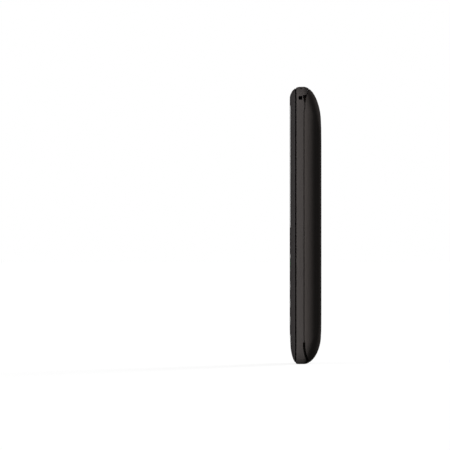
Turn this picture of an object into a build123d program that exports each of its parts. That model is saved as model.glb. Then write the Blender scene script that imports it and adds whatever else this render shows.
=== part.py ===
from build123d import *
import os
from math import cos, radians, sin, sqrt

# Sizes are in millimetres. The phone stands on its bottom end: X runs to its right, seen from the front,
# Y from the front face to the back, and Z up. A depth is measured from the front face towards the back.

# Whole phone
width = 58.1
height = 124.5
thickness = 14.0
corner_radius = 9.0
front_flat_radius = 5.5
back_flat_straight = 4.35
overrun = 2.0

# Elliptic edges of the form: how far each runs in over the face, and how deep it is
side_front_run = 6.25
side_front_depth = 2.9
side_back_run = 12.7
side_back_depth = 8.55
side_draft = 0.2
top_front_run = 4.7
top_front_depth = 4.5
top_back_run = 17.5
top_back_depth = 8.1
bottom_front_run = 12.6
bottom_front_depth = 3.15
bottom_back_run = 14.0
bottom_back_depth = 8.1
curve_steps = 6
waist_steps = 4

# Shells and the joints between them
front_depth = 2.1
gasket_thickness = 0.6
gasket_inset = 0.45
frame_wall = 1.5
cover_wall = 1.2
cover_gap = 0.35

# Parting curve between frame and cover: level along the sides, rising towards the back at both ends
parting_depth = 5.9
parting_step = 0.4
parting_rise = 2.8
parting_run = 9.3
parting_step_start = 9.4
parting_step_run = 1.8
parting_run_shares = (0, 0.12, 0.27, 0.48, 0.77, 1)
parting_rise_shares = (1, 0.64, 0.43, 0.21, 0.04, 0)

# Display: its window fills the front from the key field up to the earpiece
window_inset = 6.55
window_above_field = 4.7
window_drop = 8.2
window_radius = 2.5
window_sink = 0.1
window_thickness = 0.8
window_clearance = 0.1
view_side_inset = 3.4
view_end_inset = 2.2
view_radius = 1.0
module_side_overlap = 2.25
module_low_overlap = 4.1
module_high_inset = 0.7
module_radius = 1.0
module_gap = 0.1
tray_thickness = 0.4
tray_overlap = 0.35

# Main board
board_front = 3.8
board_thickness = 1.0
board_inset = 2.85
board_radius = 7.0

# Keys: the caps stand in a recessed field, on flanges behind it
field_inset = 5.85
field_bottom = 7.0
field_radius = 3.5
field_depth = 0.5
field_side_margin = 0.7
field_low_margin = 0.9
field_high_margin = 1.2
key_columns = 3
key_rows = 4
key_height = 6.8
key_radius = 1.3
key_gap_across = 0.9
key_gap_up = 1.1
key_sink = 0.15
key_bevel = 0.28
key_travel = 0.3
key_clearance = 0.15
key_flange = 0.35
key_flange_thickness = 0.4
key_flange_gap = 0.05
key_skin = 0.1
plunger_radius = 1.1
press_margin = 0.02
side_key_height = 6.4
side_key_radius = 1.8
side_key_margin = 0.8
side_key_above_keys = 3.0
side_key_gap = 1.2

# Four-way rocker and the key inside it
rocker_width = 19.0
rocker_overreach = 0.5
rocker_side_gap = 1.2
rocker_radius = 5.5
rocker_clearance = 0.2
rocker_flange = 0.4
rocker_flange_depth = 1.9
rocker_flange_thickness = 0.35
rocker_plunger_radius = 0.9
rocker_plunger_side_inset = 1.6
rocker_plunger_end_inset = 1.3
rocker_tip_margin = 0.05
ok_radius = 3.5
ok_clearance = 0.45
seat_outer_radius = 4.8
seat_inner_radius = 3.9
seat_front = 2.45
seat_back = 3.4

# Key mat and dome sheet
dome_sheet_thickness = 0.15
dome_rise = 0.08
dome_radius = 1.1
dome_sides = 8
mat_thickness = 0.25
mat_margin = 0.8
mat_hole_radius = 1.5
mat_radius = 3.0

# Earpiece, microphone
slot_width = 10.0
slot_height = 1.4
slot_drop = 6.6
mesh_margin = 0.7
mesh_thickness = 0.2
receiver_width = 12.0
receiver_height = 5.0
receiver_below_slot = 1.5
receiver_thickness = 1.6
receiver_radius = 1.2
microphone_radius = 2.0
microphone_thickness = 1.5
microphone_across = 8.0
microphone_up = 5.4
microphone_hole_radius = 0.45

# Tray behind the board, with the battery bay
web_thickness = 0.6
tray_inset = 3.65
tray_bottom = 4.6
tray_drop = 4.0
tray_radius = 6.0
tray_wall = 0.8
deck_front = 6.1
deck_back = 6.9
battery_width = 34.0
battery_bottom = 27.0
battery_below_sockets = 5.1
battery_radius = 1.1
battery_clearance = 0.25
battery_lift = 0.1
bay_wall = 0.8
bay_depth = 2.5
finger_notch_width = 12.0
finger_notch_depth = 1.6
connector_width = 10.0
connector_length = 3.2
connector_rise = 2.1
connector_clearance = 0.2
blade_width = 1.2
blade_pitch = 2.6
blade_thickness = 0.2

# Screws that hold frame, board and front cover together
screw_low_across = 16.5
screw_low_up = 5.8
screw_middle_inset = 4.55
screw_middle_below_window = 2.6
screw_high_inset = 4.85
screw_high_drop = 12.0
screw_shaft_radius = 0.7
screw_head_radius = 1.3
screw_head_thickness = 0.7
screw_tip = 2.3
screw_clearance = 0.05
boss_radius = 1.7
column_radius = 2.1
board_hole_radius = 1.0
cross_width = 0.3
cross_length = 1.5
cross_depth = 0.35

# Strap hole in the top right corner
strap_size = 1.75
strap_radius = 0.4
strap_side_depth = 4.5
strap_side_drop = 5.1
strap_top_depth = 5.3
strap_top_inset = 5.7
strap_block_width = 8.4
strap_block_height = 7.6
strap_block_back = 6.7

# Recesses in the frame at the parting curve: a wedge by the strap hole, and the nail notch below
wedge_start = 3.8
wedge_end = 7.9
wedge_front = 5.5
notch_start = 0.9
notch_end = 9.8
notch_width = 0.75
notch_inset = 6.3

# Bottom end: charging port and contacts
usb_width = 8.94
usb_height = 3.2
usb_wall = 0.3
usb_length = 7.3
usb_sink = 0.15
usb_clearance = 0.15
usb_room = 0.6
usb_fit = 0.02
tongue_width = 6.6
tongue_thickness = 0.7
tongue_start = 1.1
tongue_base = 1.6
contact_radius = 1.2
contact_across = 9.27
contact_depth = 6.5
contact_sink = 0.1
contact_length = 3.9
contact_clearance = 0.05
contact_leg_width = 1.6
contact_leg_thickness = 0.6

# Top end: torch
torch_across = 6.7
torch_depth = 6.65
torch_radius = 2.2
torch_recess_radius = 2.6
torch_length = 2.5
torch_clearance = 0.05
torch_cover_clearance = 0.3
led_width = 3.2
led_depth = 3.4
led_length = 1.2
led_clearance = 0.2

# Card sockets behind the board
socket_edge = 1.7
socket_gap = 1.0
socket_height = 15.0
socket_thickness = 1.25
socket_below_camera = 1.15
socket_wall = 0.2
socket_margin = 0.4
socket_side_wall = 1.15
socket_end_wall = 2.0
socket_window_width = 8.0
socket_window_height = 6.0
contact_pad = 1.6
contact_pad_rise = 0.15
contact_pitch = 2.54
sd_contact_width = 0.7
sd_contact_length = 2.6
sd_contact_pitch = 1.1
sd_contact_count = 8

# Camera
camera_drop = 18.0
camera_size = 8.5
camera_base = 2.7
camera_barrel_radius = 3.1
camera_cover_gap = 0.2
camera_window_radius = 4.1
camera_window_clearance = 0.05
camera_window_sink = 0.3
camera_ledge = 0.9
camera_ledge_thickness = 0.35
lens_bore_radius = 1.4
lens_bore_depth = 0.8

# Loudspeaker and its grille
speaker_width = 22.0
speaker_height = 13.4
speaker_bottom = 11.6
speaker_radius = 2.5
speaker_seal = 1.1
speaker_seal_gap = 0.1
speaker_seal_wall = 1.2
grille_width = 12.0
grille_slot = 0.8
grille_pitch = 1.35
grille_count = 4
grille_margin = 0.9
grille_recess = 0.35

# Vibration motor
motor_beside_speaker = 1.0
motor_deck_gap = 0.2
motor_cover_gap = 1.8
motor_bottom = 12.6
motor_length = 8.0
motor_saddle_width = 3.6
motor_saddle_sink = 0.8
weight_overhang = 0.2
weight_length = 3.4
weight_gap = 0.4
weight_hub_radius = 0.8
shaft_radius = 0.4
shaft_clearance = 0.05
shaft_engagement = 1.5

# Shield cans and antenna
can_inset = 7.85
can_half_gap = 1.2
can_end_gap = 2.0
can_middle_gap = 6.0
can_thickness = 1.15
can_wall = 0.2
can_radius = 0.6
antenna_inset = 11.05
antenna_height = 5.6
antenna_drop = 5.3
antenna_thickness = 0.2
antenna_slot_width = 14.0
antenna_slot_height = 1.6

# Cover clips: lips on the cover that reach into the frame
clip_length = 6.0
clip_thickness = 0.65
clip_clearance = 0.15
clip_reach = 0.4
clip_root = 1.7
clip_low = 20.0
clip_drop = 20.5
clip_count = 4
rib_width = 0.8
rib_height = 0.3
rib_inset = 2.0
rib_gap = 0.1
rib_count = 3

# Corner radius of the flat back, which keeps a straight stretch on its narrow edge
back_flat_radius = width / 2 - side_back_run - back_flat_straight

# Depths that follow from the sizes above
frame_front = front_depth + gasket_thickness
board_back = board_front + board_thickness
web_back = board_back + web_thickness
usb_depth = board_back + usb_height / 2
battery_front = deck_back + battery_lift
battery_thickness = thickness - cover_wall - rib_height - rib_gap - battery_front
connector_depth = deck_back + connector_rise
front_wall = frame_wall
window_seat = window_sink + window_thickness
dome_front = board_front - dome_sheet_thickness
mat_front = dome_front - mat_thickness
plunger_tip = dome_front - dome_rise - key_travel - press_margin
rocker_plunger_tip = plunger_tip - rocker_tip_margin
camera_barrel_end = thickness - cover_wall - camera_cover_gap
camera_window_back = thickness - camera_window_sink
speaker_back = thickness - cover_wall - mesh_thickness - speaker_seal_gap - speaker_seal
speaker_thickness = speaker_back - deck_back
weight_radius = (thickness - cover_wall - motor_cover_gap - deck_back - motor_deck_gap) / 2
motor_radius = weight_radius - weight_overhang
motor_depth = deck_back + motor_deck_gap + weight_radius
motor_saddle_back = motor_depth - motor_saddle_sink

# Widths and places across that follow
field_width = width - 2 * field_inset
key_pitch_across = (field_width - 2 * field_side_margin + key_gap_across) / key_columns
key_width = key_pitch_across - key_gap_across
side_key_width = field_width / 2 - side_key_margin - rocker_side_gap - rocker_width / 2
side_key_across = (field_width - side_key_width) / 2 - side_key_margin
window_width = width - 2 * window_inset
view_width = window_width - 2 * view_side_inset
module_width = view_width + 2 * module_side_overlap
tray_half_width = width / 2 - tray_inset
socket_width = (2 * (tray_half_width - tray_wall - socket_edge) - 2 * socket_gap) / 3
socket_pitch = socket_width + socket_gap
card_width = socket_width - 2 * socket_side_wall
can_width = width / 2 - can_inset - can_half_gap
can_across = can_half_gap + can_width / 2
antenna_width = width - 2 * antenna_inset
rib_span = battery_width - 2 * rib_inset
motor_across = speaker_width / 2 + motor_beside_speaker + weight_radius
strap_top_across = width / 2 - strap_top_inset

# Heights and places up the phone that follow
first_row_height = field_bottom + field_low_margin + key_height / 2
key_pitch_up = key_height + key_gap_up
last_row_height = first_row_height + (key_rows - 1) * key_pitch_up
side_key_low = last_row_height + key_height / 2 + side_key_above_keys + side_key_height / 2
side_key_high = side_key_low + side_key_height + side_key_gap
field_height = side_key_high + side_key_height / 2 + field_high_margin - field_bottom
field_middle = field_bottom + field_height / 2
rocker_middle = (side_key_low + side_key_high) / 2
rocker_height = side_key_high - side_key_low + side_key_height + 2 * rocker_overreach
window_bottom = field_bottom + field_height + window_above_field
window_height = height - window_drop - window_bottom
window_middle = window_bottom + window_height / 2
view_height = window_height - 2 * view_end_inset
module_bottom = window_bottom - module_low_overlap
module_height = window_height + module_low_overlap - module_high_inset
module_middle = module_bottom + module_height / 2
slot_middle = height - slot_drop
receiver_bottom = slot_middle - receiver_below_slot
board_top = height - board_inset
tray_top = height - tray_drop
tray_height = tray_top - tray_bottom
tray_middle = (tray_top + tray_bottom) / 2
strap_side_up = height - strap_side_drop
torch_back = height - torch_length
camera_up = height - camera_drop
socket_middle = camera_up - camera_size / 2 - socket_below_camera - socket_height / 2
battery_top = socket_middle - socket_height / 2 - battery_below_sockets
battery_height = battery_top - battery_bottom
battery_middle = battery_bottom + battery_height / 2
rib_pitch = battery_height / rib_count
can_height = (battery_height - can_middle_gap) / 2 - can_end_gap
can_pitch_up = can_height + can_middle_gap
speaker_middle = speaker_bottom + speaker_height / 2
motor_top = motor_bottom + motor_length
grille_middle = speaker_middle
antenna_bottom = height - antenna_drop - antenna_height
clip_pitch = (height - clip_low - clip_drop) / (clip_count - 1)
clip_heights = [clip_low + place * clip_pitch for place in range(clip_count)]
rocker_hole_radius = ok_radius + ok_clearance
rocker_plunger_across = rocker_width / 2 - rocker_plunger_side_inset
rocker_plunger_up = rocker_height / 2 - rocker_plunger_end_inset

side_edge = (side_front_run, side_front_depth, side_back_run, side_back_depth)
top_edge = (top_front_run, top_front_depth, top_back_run, top_back_depth)
bottom_edge = (bottom_front_run, bottom_front_depth, bottom_back_run, bottom_back_depth)

screw_places = [
    (side * across, up)
    for side in (-1, 1)
    for across, up in (
        (screw_low_across, screw_low_up),
        (width / 2 - screw_middle_inset, window_bottom - screw_middle_below_window),
        (width / 2 - screw_high_inset, height - screw_high_drop),
    )
]


def key_list():
    """Name, middle across, middle up, width, height and corner radius of every key that is pressed."""
    rows = (
        ("key_star", "key_0", "key_hash"),
        ("key_7", "key_8", "key_9"),
        ("key_4", "key_5", "key_6"),
        ("key_1", "key_2", "key_3"),
    )
    keys = []
    for row, names in enumerate(rows):
        for column, name in enumerate(names):
            across = (column - (key_columns - 1) / 2) * key_pitch_across
            up = first_row_height + row * key_pitch_up
            keys.append((name, across, up, key_width, key_height, key_radius))
    for name, side, up in (
        ("soft_key_left", -1, side_key_high),
        ("soft_key_right", 1, side_key_high),
        ("call_key", -1, side_key_low),
        ("end_key", 1, side_key_low),
    ):
        keys.append((name, side * side_key_across, up, side_key_width, side_key_height, side_key_radius))
    return keys


keys = key_list()
rocker_plunger_places = [
    (-rocker_plunger_across, rocker_middle),
    (rocker_plunger_across, rocker_middle),
    (0, rocker_middle - rocker_plunger_up),
    (0, rocker_middle + rocker_plunger_up),
]


def level(depth):
    """Plane at a depth, looking out of the front: its X runs across and its Y up the phone."""
    return Plane(origin=(0, depth - thickness / 2, 0), x_dir=(1, 0, 0), z_dir=(0, -1, 0))


def end_plane(up):
    """Plane across the phone at a height: its X runs across and its Y towards the back."""
    return Plane(origin=(0, -thickness / 2, up), x_dir=(1, 0, 0), z_dir=(0, 0, 1))


def reach(edge, limit, draft, depth, inset):
    """Distance from the middle to one edge of the form at a depth, moved inwards by the inset."""
    front_run, front_deep, back_run, back_deep = edge
    back_start = thickness - back_deep
    if depth < front_deep:
        share = (front_deep - depth) / (front_deep - inset)
        return limit - draft - front_run + (front_run - inset) * sqrt(max(0, 1 - share**2))
    if depth > back_start:
        share = (depth - back_start) / (back_deep - inset)
        return limit - back_run + (back_run - inset) * sqrt(max(0, 1 - share**2))
    share = (back_start - depth) / (back_start - front_deep)
    return limit - inset - draft * share**2


def corner(depth, inset):
    """Corner radius of the form's outline at a depth."""
    back_start = thickness - side_back_depth
    if depth < side_front_depth:
        share = (side_front_depth - depth) / (side_front_depth - inset)
        flat_radius = front_flat_radius
    elif depth > back_start:
        share = (depth - back_start) / (side_back_depth - inset)
        flat_radius = back_flat_radius
    else:
        return corner_radius - inset
    return flat_radius + (corner_radius - inset - flat_radius) * sqrt(max(0, 1 - share**2))


def outline(depth, inset):
    """Outline of the form at a depth, moved inwards by the inset."""
    half_width = reach(side_edge, width / 2, side_draft, depth, inset)
    above = reach(top_edge, height / 2, 0, depth, inset)
    below = reach(bottom_edge, height / 2, 0, depth, inset)
    with BuildSketch(level(depth)) as face:
        with Locations((0, (height + above - below) / 2)):
            RectangleRounded(2 * half_width, above + below, corner(depth, inset))
    return face.sketch


def body_form(inset):
    """The phone's closed outer form, moved inwards all round by the inset."""
    back_start = thickness - side_back_depth
    front_span = side_front_depth - inset
    back_span = side_back_depth - inset
    turns = [radians(90 * step / curve_steps) for step in range(curve_steps + 1)]
    front = [inset + front_span * (1 - cos(turn)) for turn in turns]
    waist_span = back_start - side_front_depth
    waist = [side_front_depth + waist_span * step / waist_steps for step in range(waist_steps + 1)]
    back = [back_start + back_span * sin(turn) for turn in turns]
    with BuildPart() as form:
        for depths in (front, waist, back):
            loft(sections=[outline(depth, inset) for depth in depths])
    return form.part


def parting_points(shift):
    """Points of the parting curve at the bottom end, from the end inwards, as (Y, Z)."""
    return [
        (parting_depth + parting_step + parting_rise * rise + shift - thickness / 2, parting_run * run)
        for run, rise in zip(parting_run_shares, parting_rise_shares)
    ]


def behind_parting(shift):
    """Everything behind the parting curve, moved back by shift."""
    low = parting_points(shift)
    high = [(y, height - z) for y, z in reversed(low)]
    step_end = parting_step_start + parting_step_run
    side_y = parting_depth + shift - thickness / 2
    back_y = thickness / 2 + overrun
    with BuildPart() as region:
        with BuildSketch(Plane.YZ):
            with BuildLine():
                Spline(*low)
                Polyline(
                    low[-1],
                    (low[-1][0], parting_step_start),
                    (side_y, step_end),
                    (side_y, height - step_end),
                    (high[0][0], height - parting_step_start),
                    high[0],
                )
                Spline(*high)
                Polyline(
                    high[-1],
                    (high[-1][0], height + overrun),
                    (back_y, height + overrun),
                    (back_y, -overrun),
                    (low[0][0], -overrun),
                    low[0],
                )
            make_face()
        extrude(amount=width, both=True)
    return region.part


os.makedirs("parts", exist_ok=True)

outer = body_form(0)
skin = body_form(key_skin)
gasket_form = body_form(gasket_inset)
cover_inner = body_form(cover_wall)
frame_inner = body_form(frame_wall)


# Front cover: a moulded shell with the window seat, the key field and its openings, and screw bosses
with BuildPart() as front_cover:
    add(outer)
    split(bisect_by=level(front_depth), keep=Keep.TOP)
    add(frame_inner, mode=Mode.SUBTRACT)
    with BuildSketch(level(window_seat)):
        with Locations((0, window_middle)):
            RectangleRounded(
                window_width + 2 * window_clearance,
                window_height + 2 * window_clearance,
                window_radius + window_clearance,
            )
    extrude(amount=window_seat + overrun, mode=Mode.SUBTRACT)
    with BuildSketch(level(front_wall + overrun)):
        with Locations((0, window_middle)):
            RectangleRounded(view_width, view_height, view_radius)
    extrude(amount=front_wall + 2 * overrun, mode=Mode.SUBTRACT)
    with BuildSketch(level(field_depth)):
        with Locations((0, field_middle)):
            RectangleRounded(field_width, field_height, field_radius)
    extrude(amount=field_depth + overrun, mode=Mode.SUBTRACT)
    with BuildSketch(level(front_wall + overrun)):
        for name, across, up, wide, tall, radius in keys:
            with Locations((across, up)):
                RectangleRounded(
                    wide + 2 * key_clearance, tall + 2 * key_clearance, radius + key_clearance
                )
        with Locations((0, rocker_middle)):
            RectangleRounded(
                rocker_width + 2 * rocker_clearance,
                rocker_height + 2 * rocker_clearance,
                rocker_radius + rocker_clearance,
            )
        with Locations((0, slot_middle)):
            SlotOverall(slot_width, slot_height)
        with Locations((microphone_across, microphone_up)):
            Circle(microphone_hole_radius)
    extrude(amount=front_wall + 2 * overrun, mode=Mode.SUBTRACT)
    # Flat room for the key flanges, where the chin would curve into them
    with BuildSketch(level(front_depth)):
        with Locations((0, field_middle)):
            RectangleRounded(field_width, field_height, key_radius + key_flange)
    extrude(amount=front_depth - front_wall, mode=Mode.SUBTRACT)
    with BuildSketch(level(board_front)):
        with Locations(*screw_places):
            Circle(boss_radius)
    extrude(amount=board_front - front_wall)
    with BuildSketch(level(board_front)):
        with Locations(*screw_places):
            Circle(screw_shaft_radius + screw_clearance)
    extrude(amount=board_front - screw_tip + screw_clearance, mode=Mode.SUBTRACT)
front_cover.part.label = "front_cover"
export_step(front_cover.part, "parts/front_cover.step")


# Gasket: the black line round the phone between front cover and frame
with BuildPart() as front_gasket:
    add(gasket_form)
    split(bisect_by=level(frame_front), keep=Keep.TOP)
    split(bisect_by=level(front_depth), keep=Keep.BOTTOM)
    add(frame_inner, mode=Mode.SUBTRACT)
front_gasket.part.label = "front_gasket"
export_step(front_gasket.part, "parts/front_gasket.step")


# Solid corner that the strap hole runs through
with BuildPart() as strap_block:
    with BuildSketch(level(strap_block_back)):
        with Locations((width / 2, height)):
            Rectangle(2 * strap_block_width, 2 * strap_block_height)
    extrude(amount=strap_block_back)

with BuildPart() as front_pocket:
    add(frame_inner)
    split(bisect_by=level(board_back), keep=Keep.TOP)
    add(strap_block.part, mode=Mode.SUBTRACT)

with BuildPart() as back_pocket:
    add(frame_inner)
    split(bisect_by=level(web_back), keep=Keep.BOTTOM)
    add(strap_block.part, mode=Mode.SUBTRACT)

# Recess round the torch, which follows the curve of the top end
with BuildPart() as torch_recess:
    with BuildSketch(end_plane(torch_back)):
        with Locations((torch_across, torch_depth)):
            Circle(torch_recess_radius)
    extrude(amount=height - torch_back + overrun)
    add(gasket_form, mode=Mode.SUBTRACT)

# Nail notch: a groove at the bottom right corner that lays the cover's edge bare
with BuildPart() as nail_notch:
    add(behind_parting(-notch_width))
    with BuildSketch(end_plane(notch_start)):
        with Locations((width / 2, thickness / 2)):
            Rectangle(2 * notch_inset, thickness)
    extrude(amount=notch_end - notch_start, mode=Mode.INTERSECT)
    add(cover_inner, mode=Mode.SUBTRACT)

# Wedge by the strap hole, with its point on the parting curve
wedge_back = parting_depth + parting_step
with BuildPart() as strap_wedge:
    with BuildSketch(Plane.YZ.offset(width / 2 - strap_block_width)):
        with BuildLine():
            Polyline(
                (wedge_back - thickness / 2, height - wedge_end),
                (wedge_front - thickness / 2, height - wedge_start),
                (wedge_back + parting_rise - thickness / 2, height - wedge_start),
                close=True,
            )
        make_face()
    extrude(amount=width)
    add(cover_inner, mode=Mode.SUBTRACT)


# Middle frame: the outer wall, the web that the board is screwed to, and the deck with the battery bay
with BuildPart() as middle_frame:
    add(outer)
    split(bisect_by=level(frame_front), keep=Keep.BOTTOM)
    add(behind_parting(0), mode=Mode.SUBTRACT)
    add(front_pocket.part, mode=Mode.SUBTRACT)
    add(back_pocket.part, mode=Mode.SUBTRACT)
    with BuildSketch(level(web_back)):
        with Locations((0, tray_middle)):
            RectangleRounded(
                2 * (tray_half_width - tray_wall), tray_height - 2 * tray_wall, tray_radius - tray_wall
            )
    extrude(amount=web_thickness, mode=Mode.SUBTRACT)
    with BuildSketch(level(deck_back)):
        with Locations((0, tray_middle)):
            RectangleRounded(2 * tray_half_width, tray_height, tray_radius)
    extrude(amount=deck_back - board_back)
    with BuildSketch(level(deck_front)):
        with Locations((0, tray_middle)):
            RectangleRounded(
                2 * (tray_half_width - tray_wall), tray_height - 2 * tray_wall, tray_radius - tray_wall
            )
    extrude(amount=deck_front - board_back, mode=Mode.SUBTRACT)
    with BuildSketch(level(deck_back)):
        with Locations(*screw_places):
            Circle(column_radius)
    extrude(amount=deck_back - board_back)
    with BuildSketch(level(deck_back + bay_depth)):
        with Locations((0, battery_middle)):
            RectangleRounded(
                battery_width + 2 * (battery_clearance + bay_wall),
                battery_height + 2 * (battery_clearance + bay_wall),
                battery_radius + bay_wall,
            )
            RectangleRounded(
                battery_width + 2 * battery_clearance,
                battery_height + 2 * battery_clearance,
                battery_radius,
                mode=Mode.SUBTRACT,
            )
    extrude(amount=bay_depth)
    # Finger notch at the battery's lower end
    with BuildSketch(level(deck_back + bay_depth + overrun)):
        with Locations((0, battery_bottom)):
            Rectangle(finger_notch_width, 2 * (bay_wall + battery_clearance + overrun))
    extrude(amount=finger_notch_depth + overrun, mode=Mode.SUBTRACT)
    # Opening for the battery connector, and for the card sockets
    with BuildSketch(level(deck_back + bay_depth + overrun)):
        with Locations((0, battery_top + battery_clearance + connector_length / 2)):
            Rectangle(
                connector_width + 2 * connector_clearance, connector_length + 2 * connector_clearance
            )
        with Locations((0, socket_middle)):
            RectangleRounded(
                2 * socket_pitch + socket_width + 2 * socket_margin,
                socket_height + 2 * socket_margin,
                socket_margin,
            )
    extrude(amount=deck_back + bay_depth + overrun - board_back, mode=Mode.SUBTRACT)
    # Screw seats
    with BuildSketch(level(deck_back)):
        with Locations(*screw_places):
            Circle(screw_head_radius + screw_clearance)
    extrude(amount=screw_head_thickness, mode=Mode.SUBTRACT)
    with BuildSketch(level(deck_back)):
        with Locations(*screw_places):
            Circle(screw_shaft_radius + screw_clearance)
    extrude(amount=deck_back - board_back, mode=Mode.SUBTRACT)
    # Charging port, with room for it inside, and the two contacts
    with BuildSketch(end_plane(-overrun)):
        with Locations((0, usb_depth)):
            SlotOverall(usb_width + 2 * usb_clearance, usb_height + 2 * usb_clearance)
    extrude(amount=frame_wall + 2 * overrun, mode=Mode.SUBTRACT)
    with BuildSketch(end_plane(frame_wall)):
        with Locations((0, (board_back + usb_depth + usb_height) / 2)):
            Rectangle(usb_width + 2 * usb_room, usb_depth + usb_height - board_back)
    extrude(amount=usb_length + usb_sink - frame_wall + usb_room, mode=Mode.SUBTRACT)
    with BuildSketch(end_plane(-overrun)):
        with Locations((-contact_across, contact_depth), (contact_across, contact_depth)):
            Circle(contact_radius + contact_clearance)
    extrude(amount=overrun + contact_sink + contact_length + contact_clearance, mode=Mode.SUBTRACT)
    with BuildSketch(level(web_back)):
        with Locations(
            (-contact_across, contact_sink + contact_length - contact_leg_thickness / 2),
            (contact_across, contact_sink + contact_length - contact_leg_thickness / 2),
        ):
            Rectangle(contact_leg_width + 2 * usb_clearance, contact_leg_thickness + 2 * usb_clearance)
    extrude(amount=web_thickness, mode=Mode.SUBTRACT)
    # Room for the torch's lamp
    with BuildSketch(end_plane(board_top - led_length - led_clearance)):
        with Locations((torch_across, board_back + led_depth / 2)):
            Rectangle(led_width + 2 * led_clearance, led_depth + 2 * led_clearance)
    extrude(amount=led_length + 2 * led_clearance, mode=Mode.SUBTRACT)
    # Torch bore and recess
    with BuildSketch(end_plane(torch_back)):
        with Locations((torch_across, torch_depth)):
            Circle(torch_radius + torch_clearance)
    extrude(amount=height - torch_back + overrun, mode=Mode.SUBTRACT)
    add(torch_recess.part, mode=Mode.SUBTRACT)
    # Strap hole: in at the right side and out at the top end, round the corner post
    with BuildSketch(Plane.YZ.offset(strap_top_across - strap_size / 2)):
        with Locations((strap_side_depth - thickness / 2, strap_side_up)):
            RectangleRounded(strap_size, strap_size, strap_radius)
    extrude(amount=width, mode=Mode.SUBTRACT)
    with BuildSketch(end_plane(strap_side_up - strap_size / 2)):
        with Locations((strap_top_across, strap_top_depth)):
            RectangleRounded(strap_size, strap_size, strap_radius)
    extrude(amount=height, mode=Mode.SUBTRACT)
    add(nail_notch.part, mode=Mode.SUBTRACT)
    add(strap_wedge.part, mode=Mode.SUBTRACT)
middle_frame.part.label = "middle_frame"
export_step(middle_frame.part, "parts/middle_frame.step")


clip_outer = width / 2 - frame_wall - clip_clearance
clip_inner = clip_outer - clip_thickness

# Clips of the cover: a root on its wall and a lip that reaches into the frame
with BuildPart() as clips:
    with BuildSketch(level(parting_depth + cover_gap + clip_root)):
        for side in (-1, 1):
            with Locations(*[(side * (clip_inner + width / 2) / 2, up) for up in clip_heights]):
                Rectangle(width / 2 - clip_inner, clip_length)
    extrude(amount=clip_root)
    add(gasket_form, mode=Mode.INTERSECT)
    with BuildSketch(level(parting_depth + cover_gap + clip_root)):
        for side in (-1, 1):
            with Locations(*[(side * (clip_inner + clip_outer) / 2, up) for up in clip_heights]):
                Rectangle(clip_thickness, clip_length)
    extrude(amount=clip_root + cover_gap + clip_reach)


# Back cover: an open shell with clips, ribs, the grille and the seat of the camera window
with BuildPart() as back_cover:
    add(outer)
    add(behind_parting(cover_gap), mode=Mode.INTERSECT)
    add(cover_inner, mode=Mode.SUBTRACT)
    add(clips.part)
    # Ribs that press on the battery
    with BuildSketch(level(thickness - cover_wall)):
        with Locations((0, battery_middle)):
            with GridLocations(rib_pitch, rib_pitch, 1, rib_count):
                Rectangle(rib_span, rib_width)
    extrude(amount=rib_height)
    # Grille: slots in a shallow recess
    with BuildSketch(level(thickness + overrun)):
        with Locations((0, grille_middle)):
            RectangleRounded(
                grille_width + 2 * grille_margin,
                grille_count * grille_pitch + grille_margin,
                grille_margin,
            )
            with GridLocations(grille_pitch, grille_pitch, 1, grille_count + 1):
                Rectangle(grille_width, grille_pitch - grille_slot, mode=Mode.SUBTRACT)
    extrude(amount=grille_recess + overrun, mode=Mode.SUBTRACT)
    with BuildSketch(level(thickness + overrun)):
        with Locations((0, grille_middle)):
            with GridLocations(grille_pitch, grille_pitch, 1, grille_count):
                SlotOverall(grille_width, grille_slot)
    extrude(amount=cover_wall + 2 * overrun, mode=Mode.SUBTRACT)
    with BuildSketch(level(thickness + overrun)):
        with Locations((0, camera_up)):
            Circle(camera_window_radius + camera_window_clearance)
    extrude(
        amount=overrun + cover_wall - camera_ledge_thickness,
        mode=Mode.SUBTRACT,
    )
    with BuildSketch(level(thickness + overrun)):
        with Locations((0, camera_up)):
            Circle(camera_window_radius - camera_ledge)
    extrude(amount=cover_wall + 2 * overrun, mode=Mode.SUBTRACT)
    add(torch_recess.part, mode=Mode.SUBTRACT)
    with BuildSketch(end_plane(torch_back - torch_cover_clearance)):
        with Locations((torch_across, torch_depth)):
            Circle(torch_radius + torch_cover_clearance)
    extrude(amount=height - torch_back, mode=Mode.SUBTRACT)
back_cover.part.label = "back_cover"
export_step(back_cover.part, "parts/back_cover.step")


# Display: window, module and the tray that holds it on the board
with BuildPart() as display_window:
    with BuildSketch(level(window_seat)):
        with Locations((0, window_middle)):
            RectangleRounded(window_width, window_height, window_radius)
    extrude(amount=window_thickness)
display_window.part.label = "display_window"
export_step(display_window.part, "parts/display_window.step")

module_back = board_front - tray_thickness
module_front = front_wall + module_gap

with BuildPart() as display_module:
    with BuildSketch(level(module_back)):
        with Locations((0, module_middle)):
            RectangleRounded(module_width, module_height, module_radius)
    extrude(amount=module_back - module_front)
display_module.part.label = "display_module"
export_step(display_module.part, "parts/display_module.step")

with BuildPart() as display_tray:
    with BuildSketch(level(board_front)):
        with Locations((0, module_middle)):
            RectangleRounded(
                module_width + 2 * tray_overlap,
                module_height + 2 * tray_overlap,
                module_radius + tray_overlap,
            )
    extrude(amount=(board_front - module_front + tray_thickness) / 2)
    with BuildSketch(level(module_back)):
        with Locations((0, module_middle)):
            RectangleRounded(module_width, module_height, module_radius)
    extrude(amount=module_back, mode=Mode.SUBTRACT)
display_tray.part.label = "display_tray"
export_step(display_tray.part, "parts/display_tray.step")


# Earpiece and microphone
with BuildPart() as earpiece_mesh:
    with BuildSketch(level(front_wall + mesh_thickness)):
        with Locations((0, slot_middle)):
            SlotOverall(slot_width + 2 * mesh_margin, slot_height + 2 * mesh_margin)
    extrude(amount=mesh_thickness)
earpiece_mesh.part.label = "earpiece_mesh"
export_step(earpiece_mesh.part, "parts/earpiece_mesh.step")

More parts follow.
